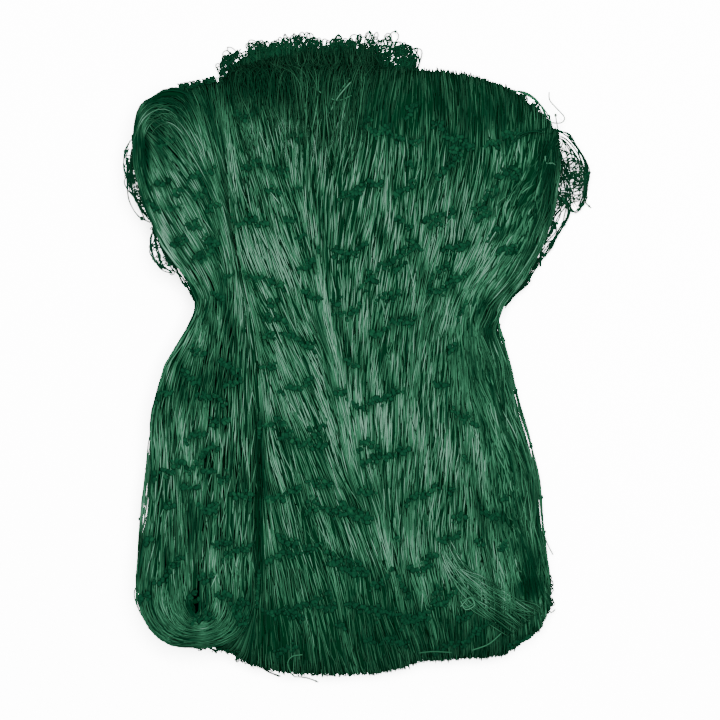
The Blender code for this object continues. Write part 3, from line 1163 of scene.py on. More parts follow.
@dataclass
class StrandCoats:
    """Strands over the whole net, coat by coat.

    A strand is a short visible stretch of twine that rises out of the mass, runs with
    its neighbours and sinks back.
    """

    stack: FoldedStack
    crown: Crown
    crowd: Crowd
    seed: int = 11
    sway: Ripple = Ripple(3, 3.6, 18.0, 70.0)
    lumps: Ripple = Ripple(4, 0.34, 9.0, 40.0)
    streaks: Ripple = Ripple(5, 0.17, 3.5, 14.0)
    patches: Ripple = Ripple(8, 0.10, 25.0, 80.0)
    lane_jitter: Pair = (0.12, 0.28)
    least_span: float = 8.0
    end_fade: Pair = (8.0, 0.35)
    knot_sink: float = 0.45
    hollow_sink: float = 0.1
    # Painted shade: tone taken off near knots, in the shade hollows and on slopes, and how deep and how hard
    # the hollows' painted shade goes.
    knot_shade: float = 0.55
    hollow_painted_shade: float = 0.15
    slope_shade: float = 0.2
    hollow_shade_depth: float = 0.75
    hollow_shade_bend: float = 0.6
    powers: Pair = (0.45, 1.5)
    # Strand ends keep this share of their tone, a painted shade where they dive under.
    end_tone: float = 0.35
    darkest: Pair = (-0.02, 0.18)
    thickness: Pair = (0.8, 1.2)
    end_radius: float = 0.6
    top_reach: Pair = (46.0, 56.0)
    top_width: float = 160.0
    widest_lean: float = 45.0
    wayward: Pair = (2.6, 0.08)
    off_edge: float = 40.0
    flank_width: float = 130.0
    shell_widths: Pair = (55.0, 150.0)
    tail_width: float = 70.0
    tail_stations: int = 12
    tail_reach: Pair = (-2.0, 2.5)
    top_lanes: Pair = (-0.02, 1.1)
    walk_lanes: Pair = (-0.05, 1.2)
    kept_lanes: Pair = (-0.04, 1.0)
    past_edge: float = 0.03
    groove_hold: Pair = (-0.01, 0.07)
    probe: float = 0.01
    least_width: float = 0.4
    wave_heights: Pair = (0.3, 1.0)
    heave: Triple = (0.12, 12.0, 40.0)
    side_heave: Triple = (0.15, 20.0, 60.0)
    top_wander: Triple = (0.001, 9.0, 30.0)
    flank_wander: Triple = (0.7, 25.0, 90.0)
    shell_wander: Triple = (0.006, 30.0, 90.0)
    band_wander: Triple = (0.035, 30.0, 110.0)
    tail_wander: Triple = (0.006, 12.0, 40.0)
    tail_lanes: Pair = (0.02, 0.56)
    tail_end: float = 12.0
    rim_lanes: Pair = (0.9, 1.02)
    hollow_falloff: float = 0.8
    streak_slant: Pair = (0.2, 0.12)
    slopes: Pair = (0.02, 0.75)
    top_heights: Pair = (8.0, 20.0)
    floor_gap: float = 1.25
    turn_reach: float = 16.0
    face_overlap: float = 8.0
    free_end_cover: float = 20.0

    def __post_init__(self) -> None:
        """Start the strands' own random draws."""
        self.rng = np.random.default_rng(self.seed)

    def lean(self, across: Array, y: Array) -> Array:
        """Read the strands' lean on the top.

        Args:
            across: Place across the width.
            y: Place along Y.

        Returns:
            Degrees; a strand's head end leans right where positive.
        """
        grid = np.stack([LEANS.read(name, y) for name in LEANS.names.split()[1:]], axis=-1)
        count = len(LEAN_PLACES)
        spot = np.clip(np.interp(across, LEAN_PLACES, np.arange(count)), 0.0, count - 1.001)
        low = np.floor(spot).astype(int)
        lower, upper = (
            np.take_along_axis(grid, (low + step)[..., None], axis=-1)[..., 0] for step in (0, 1)
        )
        return between(lower, upper, spot - low)

    def wiggle(self, travel: Array, wave: Triple, share: float = 1.0) -> Array:
        """A strand's own small waves: two sines with random phases.

        Args:
            travel: Distance along each strand, one strand a row.
            wave: Height of the waves, their shortest length and their longest.
            share: How much of that height is kept.

        Returns:
            The waves, of the same shape as travel.
        """
        size, shortest, longest = wave
        total, each = np.zeros(travel.shape), (len(travel), 1)
        for _ in range(2):
            length = self.rng.uniform(shortest, longest, each)
            phase = self.rng.uniform(0.0, 2.0 * math.pi, each)
            height = self.rng.uniform(*self.wave_heights, each)
            total += height * np.sin(2.0 * math.pi * travel / length + phase)
        return size * share * total

    def level(self, count: int, coat: Coat) -> Array:
        """Each strand's own lift, about its coat's."""
        return coat.lift + self.rng.uniform(-1.0, 1.0, (count, 1)) * coat.lift_spread

    def many(self, length: float, width: float, coat: Coat) -> int:
        """How many strands of a coat cover a face of this length and width."""
        return round(length * width / coat.pitch / coat.mean_length)

    def spread(self, count: int) -> Array:
        """Random shares from 0 to 1 that cover the range evenly, one for each strand."""
        return self.rng.permutation((np.arange(count) + self.rng.random(count)) / count)

    def even(self, count: int, beside: float) -> tuple[Array, Array]:
        """Shares that cover a face evenly: strand i sits at (i + 1/2) / n and frac(i g).

        Args:
            count: How many strands.
            beside: How many lie side by side, which sets the jitter.

        Returns:
            Shares along and shares across, g being the golden ratio.
        """
        index = np.arange(count)
        along = (index + 0.5) / count + self.rng.normal(0.0, self.lane_jitter[0] * beside / count, count)
        across = np.mod(index * GOLDEN, 1.0) + self.rng.normal(0.0, self.lane_jitter[1] / beside, count)
        return np.clip(along, 0.0, 1.0), np.clip(across, 0.0, 1.0)

    def spans(self, middle: Array, start: float, stop: float | Array, coat: Coat) -> Array:
        """Place each strand's stations about its middle.

        Args:
            middle: Travel of each strand's middle.
            start: Where a strand may start.
            stop: Where it has to end.
            coat: How they lie.

        Returns:
            Travels, of shape (strands, stations).
        """
        count = len(middle)
        length = self.rng.uniform(*coat.length, count)
        stations = max(4, round(coat.length[1] / coat.step))
        low = np.clip(middle - 0.5 * length, start, stop - self.least_span)
        high = np.clip(middle + 0.5 * length, low + self.least_span, stop)
        return between(low[:, None], high[:, None], np.linspace(0.0, 1.0, stations)[None, :])

    def window(self, travel: Array) -> Array:
        """1 along a strand, easing to 0 over its last few millimetres or third at both ends."""
        first, last = travel[:, :1], travel[:, -1:]
        fade = np.minimum(self.end_fade[0], self.end_fade[1] * (last - first))
        return smooth_step(np.minimum(travel - first, last - travel), 0.0, fade)

    def hollow_shade(self, x: Array, y: Array) -> Array:
        """How much shade is painted over the net's hollows, where strands also sink: the strongest of their
        Gaussian spots.

        Args:
            x: Positions across.
            y: Positions along.

        Returns:
            0 away from the hollows, more where shade is painted and strands sink.
        """
        total = np.zeros(np.broadcast(x, y).shape)
        for centre_x, centre_y, half_x, half_y, strength in SHADE_HOLLOWS:
            reach = ((x - centre_x) / half_x) ** 2 + ((y - centre_y) / half_y) ** 2
            total = np.maximum(total, strength * np.exp(-self.hollow_falloff * reach))
        return total

    def sink(self, x: Array, y: Array) -> Array:
        """How far strands sink at knots and packed places."""
        return self.knot_sink * self.crowd.at(x, y) + self.hollow_sink * self.hollow_shade(x, y)

    def finish(self, cloud: Cloud, centres: Array, ups: Array, coat: Coat, window: Array) -> None:
        """Turn laid strands into tubes with their own tones, into which shade is painted.

        Args:
            cloud: The mesh to add to.
            centres: Middle lines, of shape (strands, stations, 3).
            ups: Outward directions, of the same shape.
            coat: How they lie.
            window: 1 along each strand and 0 at its ends.
        """
        each = (len(centres), 1)
        x, y, z = np.moveaxis(centres, -1, 0)
        # Painted shade: tone is taken off near knots, in the shade hollows, on slopes that turn away from
        # the light, at the buried ends and towards both folds; the lowest tone drops in the hollows too.
        slope = smooth_step(1.0 - ups[..., 2], *self.slopes)
        top = smooth_step(z, *self.top_heights)
        hollow_shade = self.hollow_shade(x, y)
        tone = coat.tone + self.rng.normal(0.0, coat.tone_spread, each)
        slant, stretch = self.streak_slant
        tone = tone + self.streaks.at(x + slant * y, stretch * y) + self.patches.at(x, y)
        tone = tone - top * (self.knot_shade * self.crowd.at(x, y) + self.hollow_painted_shade * hollow_shade)
        tone = tone - self.slope_shade * slope
        dark = top * hollow_shade
        shade = np.maximum(1.0 - self.hollow_shade_depth * dark, 0.0) * FOLD_SHADE.read("share", y)
        power = self.rng.uniform(*self.powers, each)
        power = power * (1.0 + 2.0 * np.clip(dark - self.hollow_shade_bend, 0.0, 1.0))
        tone = tone * between(self.end_tone, 1.0, window) * np.maximum(shade, 0.05) ** power
        least = self.rng.uniform(*self.darkest, each) * np.clip(1.1 - 0.9 * dark, 0.0, 1.0)
        tone = np.maximum(tone, least)
        radius = coat.radius * self.rng.uniform(*self.thickness, each)
        radius = radius * between(self.end_radius, 1.0, window)
        centres[..., 2] = np.maximum(z, self.floor_gap * coat.radius)
        add_tubes(cloud, centres, ups, radius, np.clip(tone, 0.0, 1.0))

    def on_ribbon(
        self, cloud: Cloud, across: Array, travel: Array, lift: Array, coat: Coat,
        window: Array | None = None,
    ) -> None:
        """Lay strands on the ribbon's own surface and finish them."""
        window = self.window(travel) if window is None else window
        centres = self.stack.lay(across, travel, lift)
        self.finish(cloud, centres, self.stack.normals(across, travel, lift), coat, window)

    def top(self, cloud: Cloud, coat: Coat) -> None:
        """Strands on the top run and round both outer turns, along the leans.

        Args:
            cloud: The mesh to add to.
            coat: How they lie.
        """
        start, stop = self.stack.winding.run_span(1)
        start, stop = start - self.top_reach[0], stop + self.top_reach[1]
        count = self.many(stop - start, self.top_width, coat)
        along, beside = self.even(count, self.top_width / coat.pitch)
        travel = self.spans(between(start, stop, along), start, stop, coat)
        across = np.zeros(travel.shape)
        middle = travel.shape[1] // 2
        across[:, middle] = between(*self.top_lanes, beside)
        more, share = self.wayward
        extra = self.rng.normal(0.0, coat.stray, count)
        extra = extra * self.rng.choice([1.0, more], count, p=[1.0 - share, share])
        for order in (range(middle, travel.shape[1] - 1), range(middle, 0, -1)):
            for here in order:
                there = here + order.step
                now = across[:, here]
                spot = self.stack.lay(now, travel[:, here], 0.0)
                ahead = self.stack.lay(now, travel[:, there], 0.0)
                aside = self.stack.lay(now + self.probe, travel[:, here], 0.0)
                lean = self.lean(now, spot[:, 1]) + extra + self.sway.at(spot[:, 0], spot[:, 1])
                lean = np.radians(np.clip(lean, -self.widest_lean, self.widest_lean))
                shift = np.tan(lean) * (ahead[:, 1] - spot[:, 1]) - (ahead[:, 0] - spot[:, 0])
                width = np.maximum(aside[:, 0] - spot[:, 0], self.least_width) / self.probe
                free = smooth_step(now, *self.groove_hold)
                across[:, there] = np.clip(now + free * shift / width, *self.walk_lanes)
        across = across + self.wiggle(travel, self.top_wander, coat.wander)
        beyond = np.maximum(across - 1.0, 0.0) + np.maximum(-self.past_edge - across, 0.0)
        window = self.window(travel) * (1.0 - smooth_step(beyond, 0.0, self.past_edge))
        across = np.clip(across, *self.kept_lanes)
        level = self.level(count, coat)
        x, y, _ = np.moveaxis(self.stack.lay(across, travel, 0.0), -1, 0)
        lift = 0.5 * self.stack.winding.thickness + level + self.lumps.at(x, y) - self.off_edge * beyond
        lift = lift - coat.give * self.sink(x, y)
        lift = lift + self.wiggle(travel, self.heave) - coat.bury * (1.0 - window)
        self.on_ribbon(cloud, across, travel, lift, coat, window)

    def flank(self, cloud: Cloud, coat: Coat) -> None:
        """Strands down the right flank, along and between the edges of all the runs.

        Args:
            cloud: The mesh to add to.
            coat: How they lie.
        """
        wind = self.stack.winding
        start, stop = 0.0, float(wind.travel[-1]) - wind.tail_length
        count = self.many(stop - start, wind.pitch, coat)
        travel = self.spans(between(start, stop, self.spread(count)), start, stop, coat)
        lift = self.rng.uniform(-0.5, 0.5, (count, 1)) * wind.pitch
        lift = lift + self.wiggle(travel, self.flank_wander, coat.wander)
        depth = self.level(count, coat) - coat.bury * (1.0 - self.window(travel))
        depth = depth + self.wiggle(travel, self.side_heave)
        self.on_ribbon(cloud, 1.0 + depth / self.flank_width, travel, lift, coat)

    def shell(self, cloud: Cloud, coat: Coat) -> None:
        """Strands on the outermost face: the margin's turns and wall, and the underside.

        Args:
            cloud: The mesh to add to.
            coat: How they lie.
        """
        wind = self.stack.winding
        head = wind.run_span(wind.layers - 1)[1]
        (top, foot), (low_foot, low_head) = wind.run_span(1), wind.run_span(wind.layers)
        faces = (
            (head, top + self.turn_reach, -1.0, 0.02),
            (foot - self.turn_reach, low_foot, -1.0, 0.02),
            (low_foot - self.face_overlap, low_head, -1.0, 1.0),
            (low_head - self.face_overlap, low_head + self.free_end_cover, 0.0, 0.6),
        )
        margin_width, flat_width = self.shell_widths
        for start, stop, low, high in faces:
            width = margin_width * (min(high, 0.0) - low) + flat_width * max(high, 0.0)
            count = round((stop - start) * width / coat.pitch / min(stop - start, coat.mean_length))
            travel = self.spans(between(start, stop, self.spread(count)), start, stop, coat)
            across = between(low, high, self.spread(count))[:, None]
            across = across + self.wiggle(travel, self.shell_wander, coat.wander)
            lift = 0.5 * wind.thickness + coat.lift + self.wiggle(travel, self.side_heave)
            lift = lift + self.rng.uniform(-1.0, 1.0, (count, 1)) * coat.lift_spread
            lift = lift - coat.bury * (1.0 - self.window(travel))
            self.on_ribbon(cloud, np.clip(across, -1.0, 1.0), travel, lift, coat)

    def tail(self, cloud: Cloud, coat: Coat) -> None:
        """Strands on the upper face of the free end, which stick out a little beyond it.

        Args:
            cloud: The mesh to add to.
            coat: How they lie.
        """
        wind = self.stack.winding
        stop = float(wind.travel[-1])
        start = stop - wind.tail_length
        count = round(self.tail_width / coat.pitch)
        shares = np.linspace(0.0, 1.0, self.tail_stations)[None, :]
        travel = between(start, stop, shares) + np.zeros((count, 1))
        across = between(*self.tail_lanes, self.spread(count))[:, None]
        across = across + self.wiggle(travel, self.tail_wander)
        depth = self.rng.random((count, 1)) * coat.lift_spread
        centres = self.stack.lay(across, travel, -0.5 * wind.thickness - coat.lift - depth)
        reach = self.rng.uniform(*self.tail_reach, (count, 1))
        centres[..., 1] += reach * smooth_step(travel, stop - self.tail_end, stop)
        self.finish(cloud, centres, np.broadcast_to(UP, centres.shape), coat, np.ones(travel.shape))

    def swath(self, cloud: Cloud, swath: Swath, coat: Coat) -> None:
        """Strands in a band between guides, which wander from lane to lane.

        Args:
            cloud: The mesh to add to.
            swath: The band.
            coat: How they lie.
        """
        total, width = float(swath.travel[-1]), float(np.mean(swath.width))
        count = max(3, round(width * total / coat.pitch / min(total, coat.mean_length)))
        share = np.cumsum(swath.width) / np.sum(swath.width)
        along, beside = self.even(count, width / coat.pitch)
        middle = np.interp(along, share, swath.travel)
        start, stop = (-total, 2.0 * total) if swath.closed else (0.0, total)
        stop = stop - swath.ragged * self.rng.random(count)
        travel = self.spans(middle, start, stop, coat)
        slant = np.tan(np.radians(self.rng.normal(0.0, coat.stray, (count, 1)))) / width
        lane = beside[:, None] + self.wiggle(travel, self.band_wander, coat.wander)
        lane = np.clip(lane + slant * (travel - middle[:, None]), -0.02, 1.02)
        centres = swath.lay(lane, travel)
        window = self.window(travel)
        level = self.level(count, coat)
        x, y = centres[..., 0], centres[..., 1]
        if centres.shape[-1] == 2:
            height = self.crown.height(x, y) - swath.rim * smooth_step(lane, *self.rim_lanes) ** 2
            centres = np.concatenate([centres, height[..., None]], axis=-1)
        lift = level + self.lumps.at(x, y) - coat.give * self.sink(x, y) - coat.bury * (1.0 - window)
        centres[..., 2] += lift + self.wiggle(travel, self.heave)
        tangent = unit(np.gradient(centres, axis=1))
        aside = unit(np.cross(tangent, UP))
        self.finish(cloud, centres, unit(np.cross(aside, tangent)), coat, window)


# The margin's lanes run round a slit like a running track's: outer lane, then inner lane.
MARGIN_TRACK = (
    (-44, -87.5, -68, -87.5), (-44.5, -105.5, -68, -102.5), (-49.5, -117.5, -68.5, -108),
    (-60, -123, -70, -109.5), (-72, -124, -70.5, -109), (-82.5, -122, -70.5, -108),
    (-90.5, -115, -71, -105.5), (-94.6, -102, -72, -101), (-92, -81, -73, -85.5), (-89.2, -59, -74, -66),
    (-88.3, -39.5, -73.5, -44), (-87.6, -22, -72, -24), (-83.4, -4.5, -69, -4.5), (-75.2, 11, -65.5, 11),
    (-68.8, 25, -62, 25), (-73.6, 35, -66, 37.5), (-81, 45, -74, 50.5), (-87, 56, -81, 62.5),
    (-93, 69, -87, 73.5), (-96.8, 83.5, -91, 84), (-97.4, 96.5, -92, 93), (-95.2, 108, -92, 98),
    (-88.8, 115.8, -90.5, 101), (-80, 119, -89, 99.5), (-72, 114.5, -85.5, 96.5), (-67, 103, -80, 91),
    (-63.5, 90.5, -74, 83.5), (-60.5, 78, -68, 73.5), (-56.5, 65, -62.5, 60.5), (-53, 50.5, -58.5, 48),
    (-50, 35, -56, 35), (-47, 22, -57, 22), (-45.5, 6.5, -60, 6.5), (-44, -15.5, -63.5, -15.5),
    (-43, -39.5, -66, -39.5), (-43, -66, -67.5, -66),
)

# A fan of strands from the slit's head down to the waist.
MARGIN_FAN = ((
    (-93, 92), (-91, 85.5), (-88.5, 77), (-84.5, 68), (-78.5, 58), (-69.5, 44.5), (-62, 30.5), (-61, 13),
), (
    (-92.5, 96.5), (-88, 90), (-82.5, 80), (-76.5, 69), (-69.5, 56), (-63.5, 43), (-59, 28.5), (-60, 11),
), (
    (-91.5, 100), (-85.5, 96.5), (-80, 91), (-74, 83.5), (-68, 73.5), (-62.5, 60.5), (-57, 44.5),
    (-55.5, 26.5),
))

# Single strands that arch over the margin's head.
HEAD_ARCH = (
    ((-97.5, 92), (-93.5, 104), (-86, 111.5), (-78, 110.5), (-71.5, 101), (-66, 88), (-62, 76)),
    ((-90.5, 94), (-87.5, 99), (-83, 100.5), (-78, 97), (-73, 90), (-68.5, 82), (-64.5, 74)),
)

# Strands that lie over the slit and soften it.
SLIT_COVER = (
    ((-68, 24), (-71.5, 8), (-75, -10), (-77, -30), (-77.5, -50), (-77, -72), (-74.5, -104)),
    ((-60, 22), (-60, 6), (-63, -12), (-66, -32), (-67, -52), (-68.5, -72), (-70, -103)),
)

# Strands between the margin's head and the flat part.
HEAD_WEDGE = (
    ((-79, 121), (-72.5, 112.5), (-68, 102), (-64, 91), (-60.5, 79), (-56, 65)),
    ((-67.5, 123), (-64.5, 112.5), (-62, 102), (-59.5, 91), (-57, 79), (-53.5, 65)),
    ((-55.5, 124.5), (-55, 112.5), (-54.5, 102), (-53.5, 91), (-52.5, 79), (-50.5, 65)),
)

# Strands that drape from the top over the head's nose down to the free end, in space.
HEAD_DRAPE = ((
    (-57, 130.5, 4), (-55.5, 128.5, 10), (-55, 127, 18), (-54.5, 125.5, 25.5), (-54, 121.5, 31),
    (-53, 115, 33.8), (-52, 106, 34.6), (-50, 92, 34.8), (-48, 78, 34.9),
), (
    (-24, 140, 4), (-23.5, 134.5, 8.5), (-23, 130.5, 15), (-22.5, 128, 23), (-22, 124, 30),
    (-21.5, 117, 33.6), (-21, 106, 34.6), (-20, 92, 34.8), (-18.5, 78, 34.9),
), (
    (8, 140.5, 4), (8, 135, 8.5), (8, 130.5, 15), (7.5, 128, 23), (7, 124, 30), (6, 117, 33.6),
    (4.5, 106, 34.4), (3, 92, 34.5), (1, 78, 34.6),
))


# Loops and loose threads


@dataclass(frozen=True)
class Fray:
    """A stretch of open mesh between two edges, each a list of space positions."""

    outer: tuple
    inner: tuple
    loops: int
    size: Pair = (1.3, 4.0)


@dataclass(frozen=True)
class Thread:
    """A loose thread: points with heights from the floor, or with lifts where it lies on the net."""

    points: tuple
    on_net: bool = False
    knotted: tuple = ()
    strands: int = 1
    spread: float = 0.0
    tone: float = 0.2


@dataclass
class LooseTwine:
    """Mesh loops, and threads that hang or lie loose."""

    crown: Crown
    knots: Knots
    seed: int = 41
    radius: float = 0.29
    ring_stations: int = 13
    station_step: float = 1.2
    lowest: float = 0.35
    scatter: float = 0.7
    tilt: float = 0.25
    loop_width: Pair = (0.45, 0.95)
    jitter: float = 0.07
    loop_tone: float = 0.8
    tip_knot: float = 0.52
    thread_knot: float = 0.7
    tone_spread: float = 0.1
    dark_below: float = 0.3
    crowding: float = 1.5
    tip_knots: int = 9
    foot_knots: int = 7

    def __post_init__(self) -> None:
        """Start its own random draws."""
        self.rng = np.random.default_rng(self.seed)

    def settle(self, centres: Array) -> Array:
        """Keep twine above the floor."""
        centres[..., 2] = np.maximum(centres[..., 2], self.lowest)
        return centres

    def fray(self, cloud: Cloud, knot_cloud: Cloud, fray: Fray) -> None:
        """Fill a stretch with drop-shaped loops whose tips carry knots.

        A loop is p(t) = foot + out h (1 - cos 2 pi t) / 2 + side w sin 2 pi t / 2.

        Args:
            cloud: The mesh of the loops.
            knot_cloud: The mesh of their knots.
            fray: The stretch.
        """
        rng = self.rng
        outer, inner = np.array(fray.outer), np.array(fray.inner)
        place = rng.uniform(0.0, len(outer) - 1.001, fray.loops)
        depth = rng.random((fray.loops, 1)) ** self.crowding
        low, high = spline(inner, place), spline(outer, place)
        foot = between(low, high, depth)
        out = unit(high - low + self.scatter * rng.normal(0.0, 1.0, foot.shape))
        side = unit(np.cross(out, rng.normal(0.0, self.tilt, foot.shape) + UP))
        turn = 2.0 * math.pi * np.linspace(0.0, 1.0, self.ring_stations)[None, :, None]
        length = rng.uniform(*fray.size, (fray.loops, 1, 1))
        width = rng.uniform(*self.loop_width, (fray.loops, 1, 1)) * length
        centres = foot[:, None] + out[:, None] * length * 0.5 * (1.0 - np.cos(turn))
        centres = centres + side[:, None] * width * 0.5 * np.sin(turn)
        centres = self.settle(centres + self.jitter * rng.normal(0.0, 1.0, centres.shape))
        tone = rng.uniform(0.0, self.loop_tone, (fray.loops, 1)) + np.zeros(centres.shape[:2])
        add_tubes(cloud, centres, UP, np.full(tone.shape, self.radius), tone)
        tips = np.concatenate(
            [centres[:: self.tip_knots, self.ring_stations // 2], centres[:: self.foot_knots, 0]]
        )
        self.knots.place(knot_cloud, tips, unit(rng.normal(0.0, 1.0, tips.shape)), UP, self.tip_knot)

    def thread(self, cloud: Cloud, knot_cloud: Cloud, thread: Thread) -> None:
        """Lay one loose thread, or a bundle of them, on a smooth curve.

        Args:
            cloud: The mesh of the threads.
            knot_cloud: The mesh of their knots.
            thread: What to lay.
        """
        points = np.array(thread.points, dtype=float)
        length = np.sum(np.linalg.norm(np.diff(points[:, :2], axis=0), axis=1))
        count = max(8, round(length / self.station_step))
        place = np.linspace(0.0, len(points) - 1.0, count)
        centres = np.tile(spline(points, place), (thread.strands, 1, 1))
        for axis in range(3):
            offset = self.rng.normal(0.0, thread.spread, (thread.strands, len(points), 1))
            centres[..., axis] += np.stack([spline(line, place)[:, 0] for line in offset])
        if thread.on_net:
            centres[..., 2] += self.crown.height(centres[..., 0], centres[..., 1])
        centres = self.settle(centres)
        tone = self.rng.normal(thread.tone, self.tone_spread, (thread.strands, 1))
        tone = np.clip(tone, 0.0, 1.0) + np.zeros(centres.shape[:2])
        add_tubes(cloud, centres, UP, np.full(tone.shape, self.radius), tone, sides=4)
        if thread.knotted:
            index = np.round(np.array(thread.knotted) * (count - 1)).astype(int)
            index = np.clip(index, 0, count - 2)
            spots = centres[:, index].reshape(-1, 3)
            along = unit((centres[:, index + 1] - centres[:, index]).reshape(-1, 3))
            self.knots.place(knot_cloud, spots, along, UP, self.thread_knot)


# The open loop at the right shoulder, from its outer line to the body, and the strands
# that hang from it to the waist, in space.
BAG_LINES = ((
    (86.5, 100, 24), (91.5, 98, 22), (96, 94, 18), (99.5, 88.5, 14), (101.5, 82.5, 10), (101.8, 76, 8),
    (100.5, 71.5, 6), (98.5, 68, 5),
), (
    (86.5, 97.5, 24), (90, 96, 22), (93.5, 92.5, 18), (96.5, 88, 14), (98.5, 82.5, 10), (99.2, 77, 8),
    (99, 72.5, 6), (97.5, 68.5, 5),
), (
    (86, 95.5, 24), (88, 92, 22), (90, 88, 18), (92, 84, 14), (93.5, 79.5, 10), (94.5, 75.5, 8),
    (95.5, 71, 6), (97, 68, 5),
), (
    (84, 93.5, 26), (85.5, 89.5, 24), (86.5, 85.5, 20), (87.5, 81.5, 16), (88.5, 77.5, 12), (89.5, 73, 9),
    (90, 69, 7), (89.5, 65.5, 7),
))
BAG_HANG = ((
    (87, 75, 12), (86.5, 69.5, 10), (85.5, 63.5, 9), (83.5, 57.5, 9), (80, 51.5, 9), (76.5, 45, 9),
    (72.5, 39, 10), (69, 32, 10), (65, 25, 10),
), (
    (92.8, 71, 5), (92.5, 64.5, 4.5), (89.5, 57, 4.5), (85.5, 50.5, 4.5), (81, 44.5, 5), (77, 39, 6),
    (73.5, 34, 8), (70, 29.5, 9), (66, 24.5, 10),
))

# The seam band that stands a little off the lower lobe's wall.
SEAM_BAND = ((
    (-89.5, -33, 28), (-90.6, -44, 28), (-90.9, -53, 28), (-91.4, -63.5, 28), (-92.8, -74.5, 28),
    (-94.6, -87.5, 27), (-94.6, -98, 26),
), (
    (-90.5, -33, 28), (-92, -44, 28), (-93.3, -53, 28), (-94.5, -63.5, 28), (-95.4, -74.5, 28),
    (-96.2, -87.5, 27), (-96.6, -98, 26),
))

# A fan of strands that is swept over the foot's right corner, in plan.
FOOT_FAN = ((
    (38.8, -76.8), (43.6, -84.6), (49.8, -91.2), (56.8, -96.1), (64.3, -100.4), (71.7, -104.4),
    (80.5, -107),
), (
    (36.2, -78.9), (40.6, -87.7), (46.3, -95.2), (52.9, -100.9), (59.9, -105.7), (66.4, -110.5),
    (72.6, -114.9),
), (
    (34.4, -82.5), (37.5, -91.2), (41.9, -99.1), (46.7, -105.3), (52.4, -110.5), (58.6, -115.8),
    (64.3, -121.1),
))


FRAYS = (
    Fray(((-60.5, 125.5, 4), (-59.5, 131.5, 4), (-56, 136, 4), (-50.5, 138, 4), (-43, 139.5, 4)), (
        (-57, 123.5, 4), (-54, 127.5, 4), (-50, 130.5, 4), (-45, 133, 4), (-41, 134.5, 4),
    ), 55, (2.6, 5.5)),
    Fray((
        (-43, 139, 4), (-36.5, 139.5, 4), (-31.5, 142, 4), (-26, 143.5, 4), (-19.5, 141.5, 4),
        (-12.5, 140.5, 4), (-7.5, 142, 4), (-3, 141, 4),
    ), (
        (-42, 134, 4), (-36, 135, 4), (-30.5, 135.5, 4), (-25, 136, 4), (-19.5, 136, 4),
        (-12.5, 135.5, 4), (-7.5, 135, 4), (-3, 134.5, 4),
    ), 230, (1.8, 4.2)),
    Fray((
        (-3, 141, 3.5), (3, 142.5, 3.5), (9.5, 143, 3.5), (15.5, 142, 3.5), (20, 139, 3.5),
        (23, 136.5, 3.5), (23.8, 132.5, 3.5), (23.4, 128.5, 3.5),
    ), (
        (-3, 134.5, 3.5), (2.5, 133.5, 3.5), (8, 131.5, 3.5), (13, 130, 3.5), (17.5, 128.5, 3.5),
        (20.5, 127.5, 3.5), (22.5, 126.5, 3.5), (23.5, 126, 3.5),
    ), 190, (2.4, 5)),
    Fray(((-84, 115.5, 32), (-79, 117.5, 32), (-71, 120, 32), (-62, 122.5, 30)), (
        (-83, 113.5, 34), (-78.5, 116, 34), (-71, 118, 34), (-62, 120.5, 32),
    ), 90, (1.2, 2.4)),
    Fray(((71, 115.5, 20), (76.5, 112, 20), (80.5, 107.5, 20), (84, 102.5, 20)), (
        (68.5, 113, 22), (74, 109.5, 22), (78, 105, 22), (82, 100, 22),
    ), 60, (1.4, 3.2)),
    Fray(((-85, -121.5, 26), (-78, -124, 25), (-69, -126, 25), (-60.5, -127.5, 24), (-52, -129, 22)), (
        (-84, -119.5, 32), (-77, -122, 32), (-68.5, -123.5, 32), (-60, -125, 32), (-51.5, -126.5, 30),
    ), 90, (1.2, 2.4)),
    Fray(((-54, -131.5, 16), (-38, -136.5, 14), (-15, -138.8, 14), (8, -138, 14), (22, -134.5, 14)), (
        (-53, -129, 20), (-37, -134.5, 20), (-15, -136.8, 20), (8, -136, 20), (22, -132.5, 20),
    ), 140, (1.2, 2.6)),
    Fray(((22, -133.5, 14), (40, -131.5, 14), (58, -130.5, 14), (71, -125.5, 14), (80.5, -118, 14)), (
        (22, -131.5, 20), (40, -129.5, 20), (57, -128.5, 20), (69, -123.5, 20), (78.5, -116.5, 20),
    ), 130, (1.2, 2.6)),
    Fray(BAG_LINES[3][:7], BAG_LINES[1][:7], 42, (3.2, 6)),
    Fray(BAG_LINES[2][3:7], BAG_LINES[0][3:7], 16, (2.8, 5)),
    Fray((
        (-98.5, 91.5, 28), (-100, 85.5, 28), (-100, 80, 28), (-99, 75, 28), (-96.8, 70.5, 27),
        (-94, 67.5, 27), (-91.5, 64.5, 27),
    ), (
        (-95, 91, 30), (-96, 85.5, 30), (-95.5, 80, 30), (-94.5, 75, 30), (-93, 70, 30), (-91, 66, 30),
        (-89.5, 63.5, 30),
    ), 50, (1.6, 3.4)),
    Fray((
        (-90, 59.5, 27), (-91, 54, 26), (-90.2, 49, 26), (-88, 44.5, 26), (-85, 41.5, 26),
        (-81, 38.5, 26),
    ), (
        (-87, 60, 30), (-86, 54.5, 30), (-84.5, 49.5, 30), (-82, 45, 30), (-79.5, 42.5, 30),
        (-77.5, 40, 30),
    ), 26, (1.5, 3.2)),
    Fray(((84.5, -96, 10), (86, -102, 8), (85.5, -109, 8)),
        ((81.5, -96, 16), (82.5, -102, 14), (82, -109, 14)), 40, (1.6, 3.4)),
    Fray(((60.5, 23, 8), (62, 16, 8), (63, 9, 8)), ((58.5, 23, 14), (59.5, 16, 14), (60.5, 9, 14)), 24,
        (1.4, 3)),
)

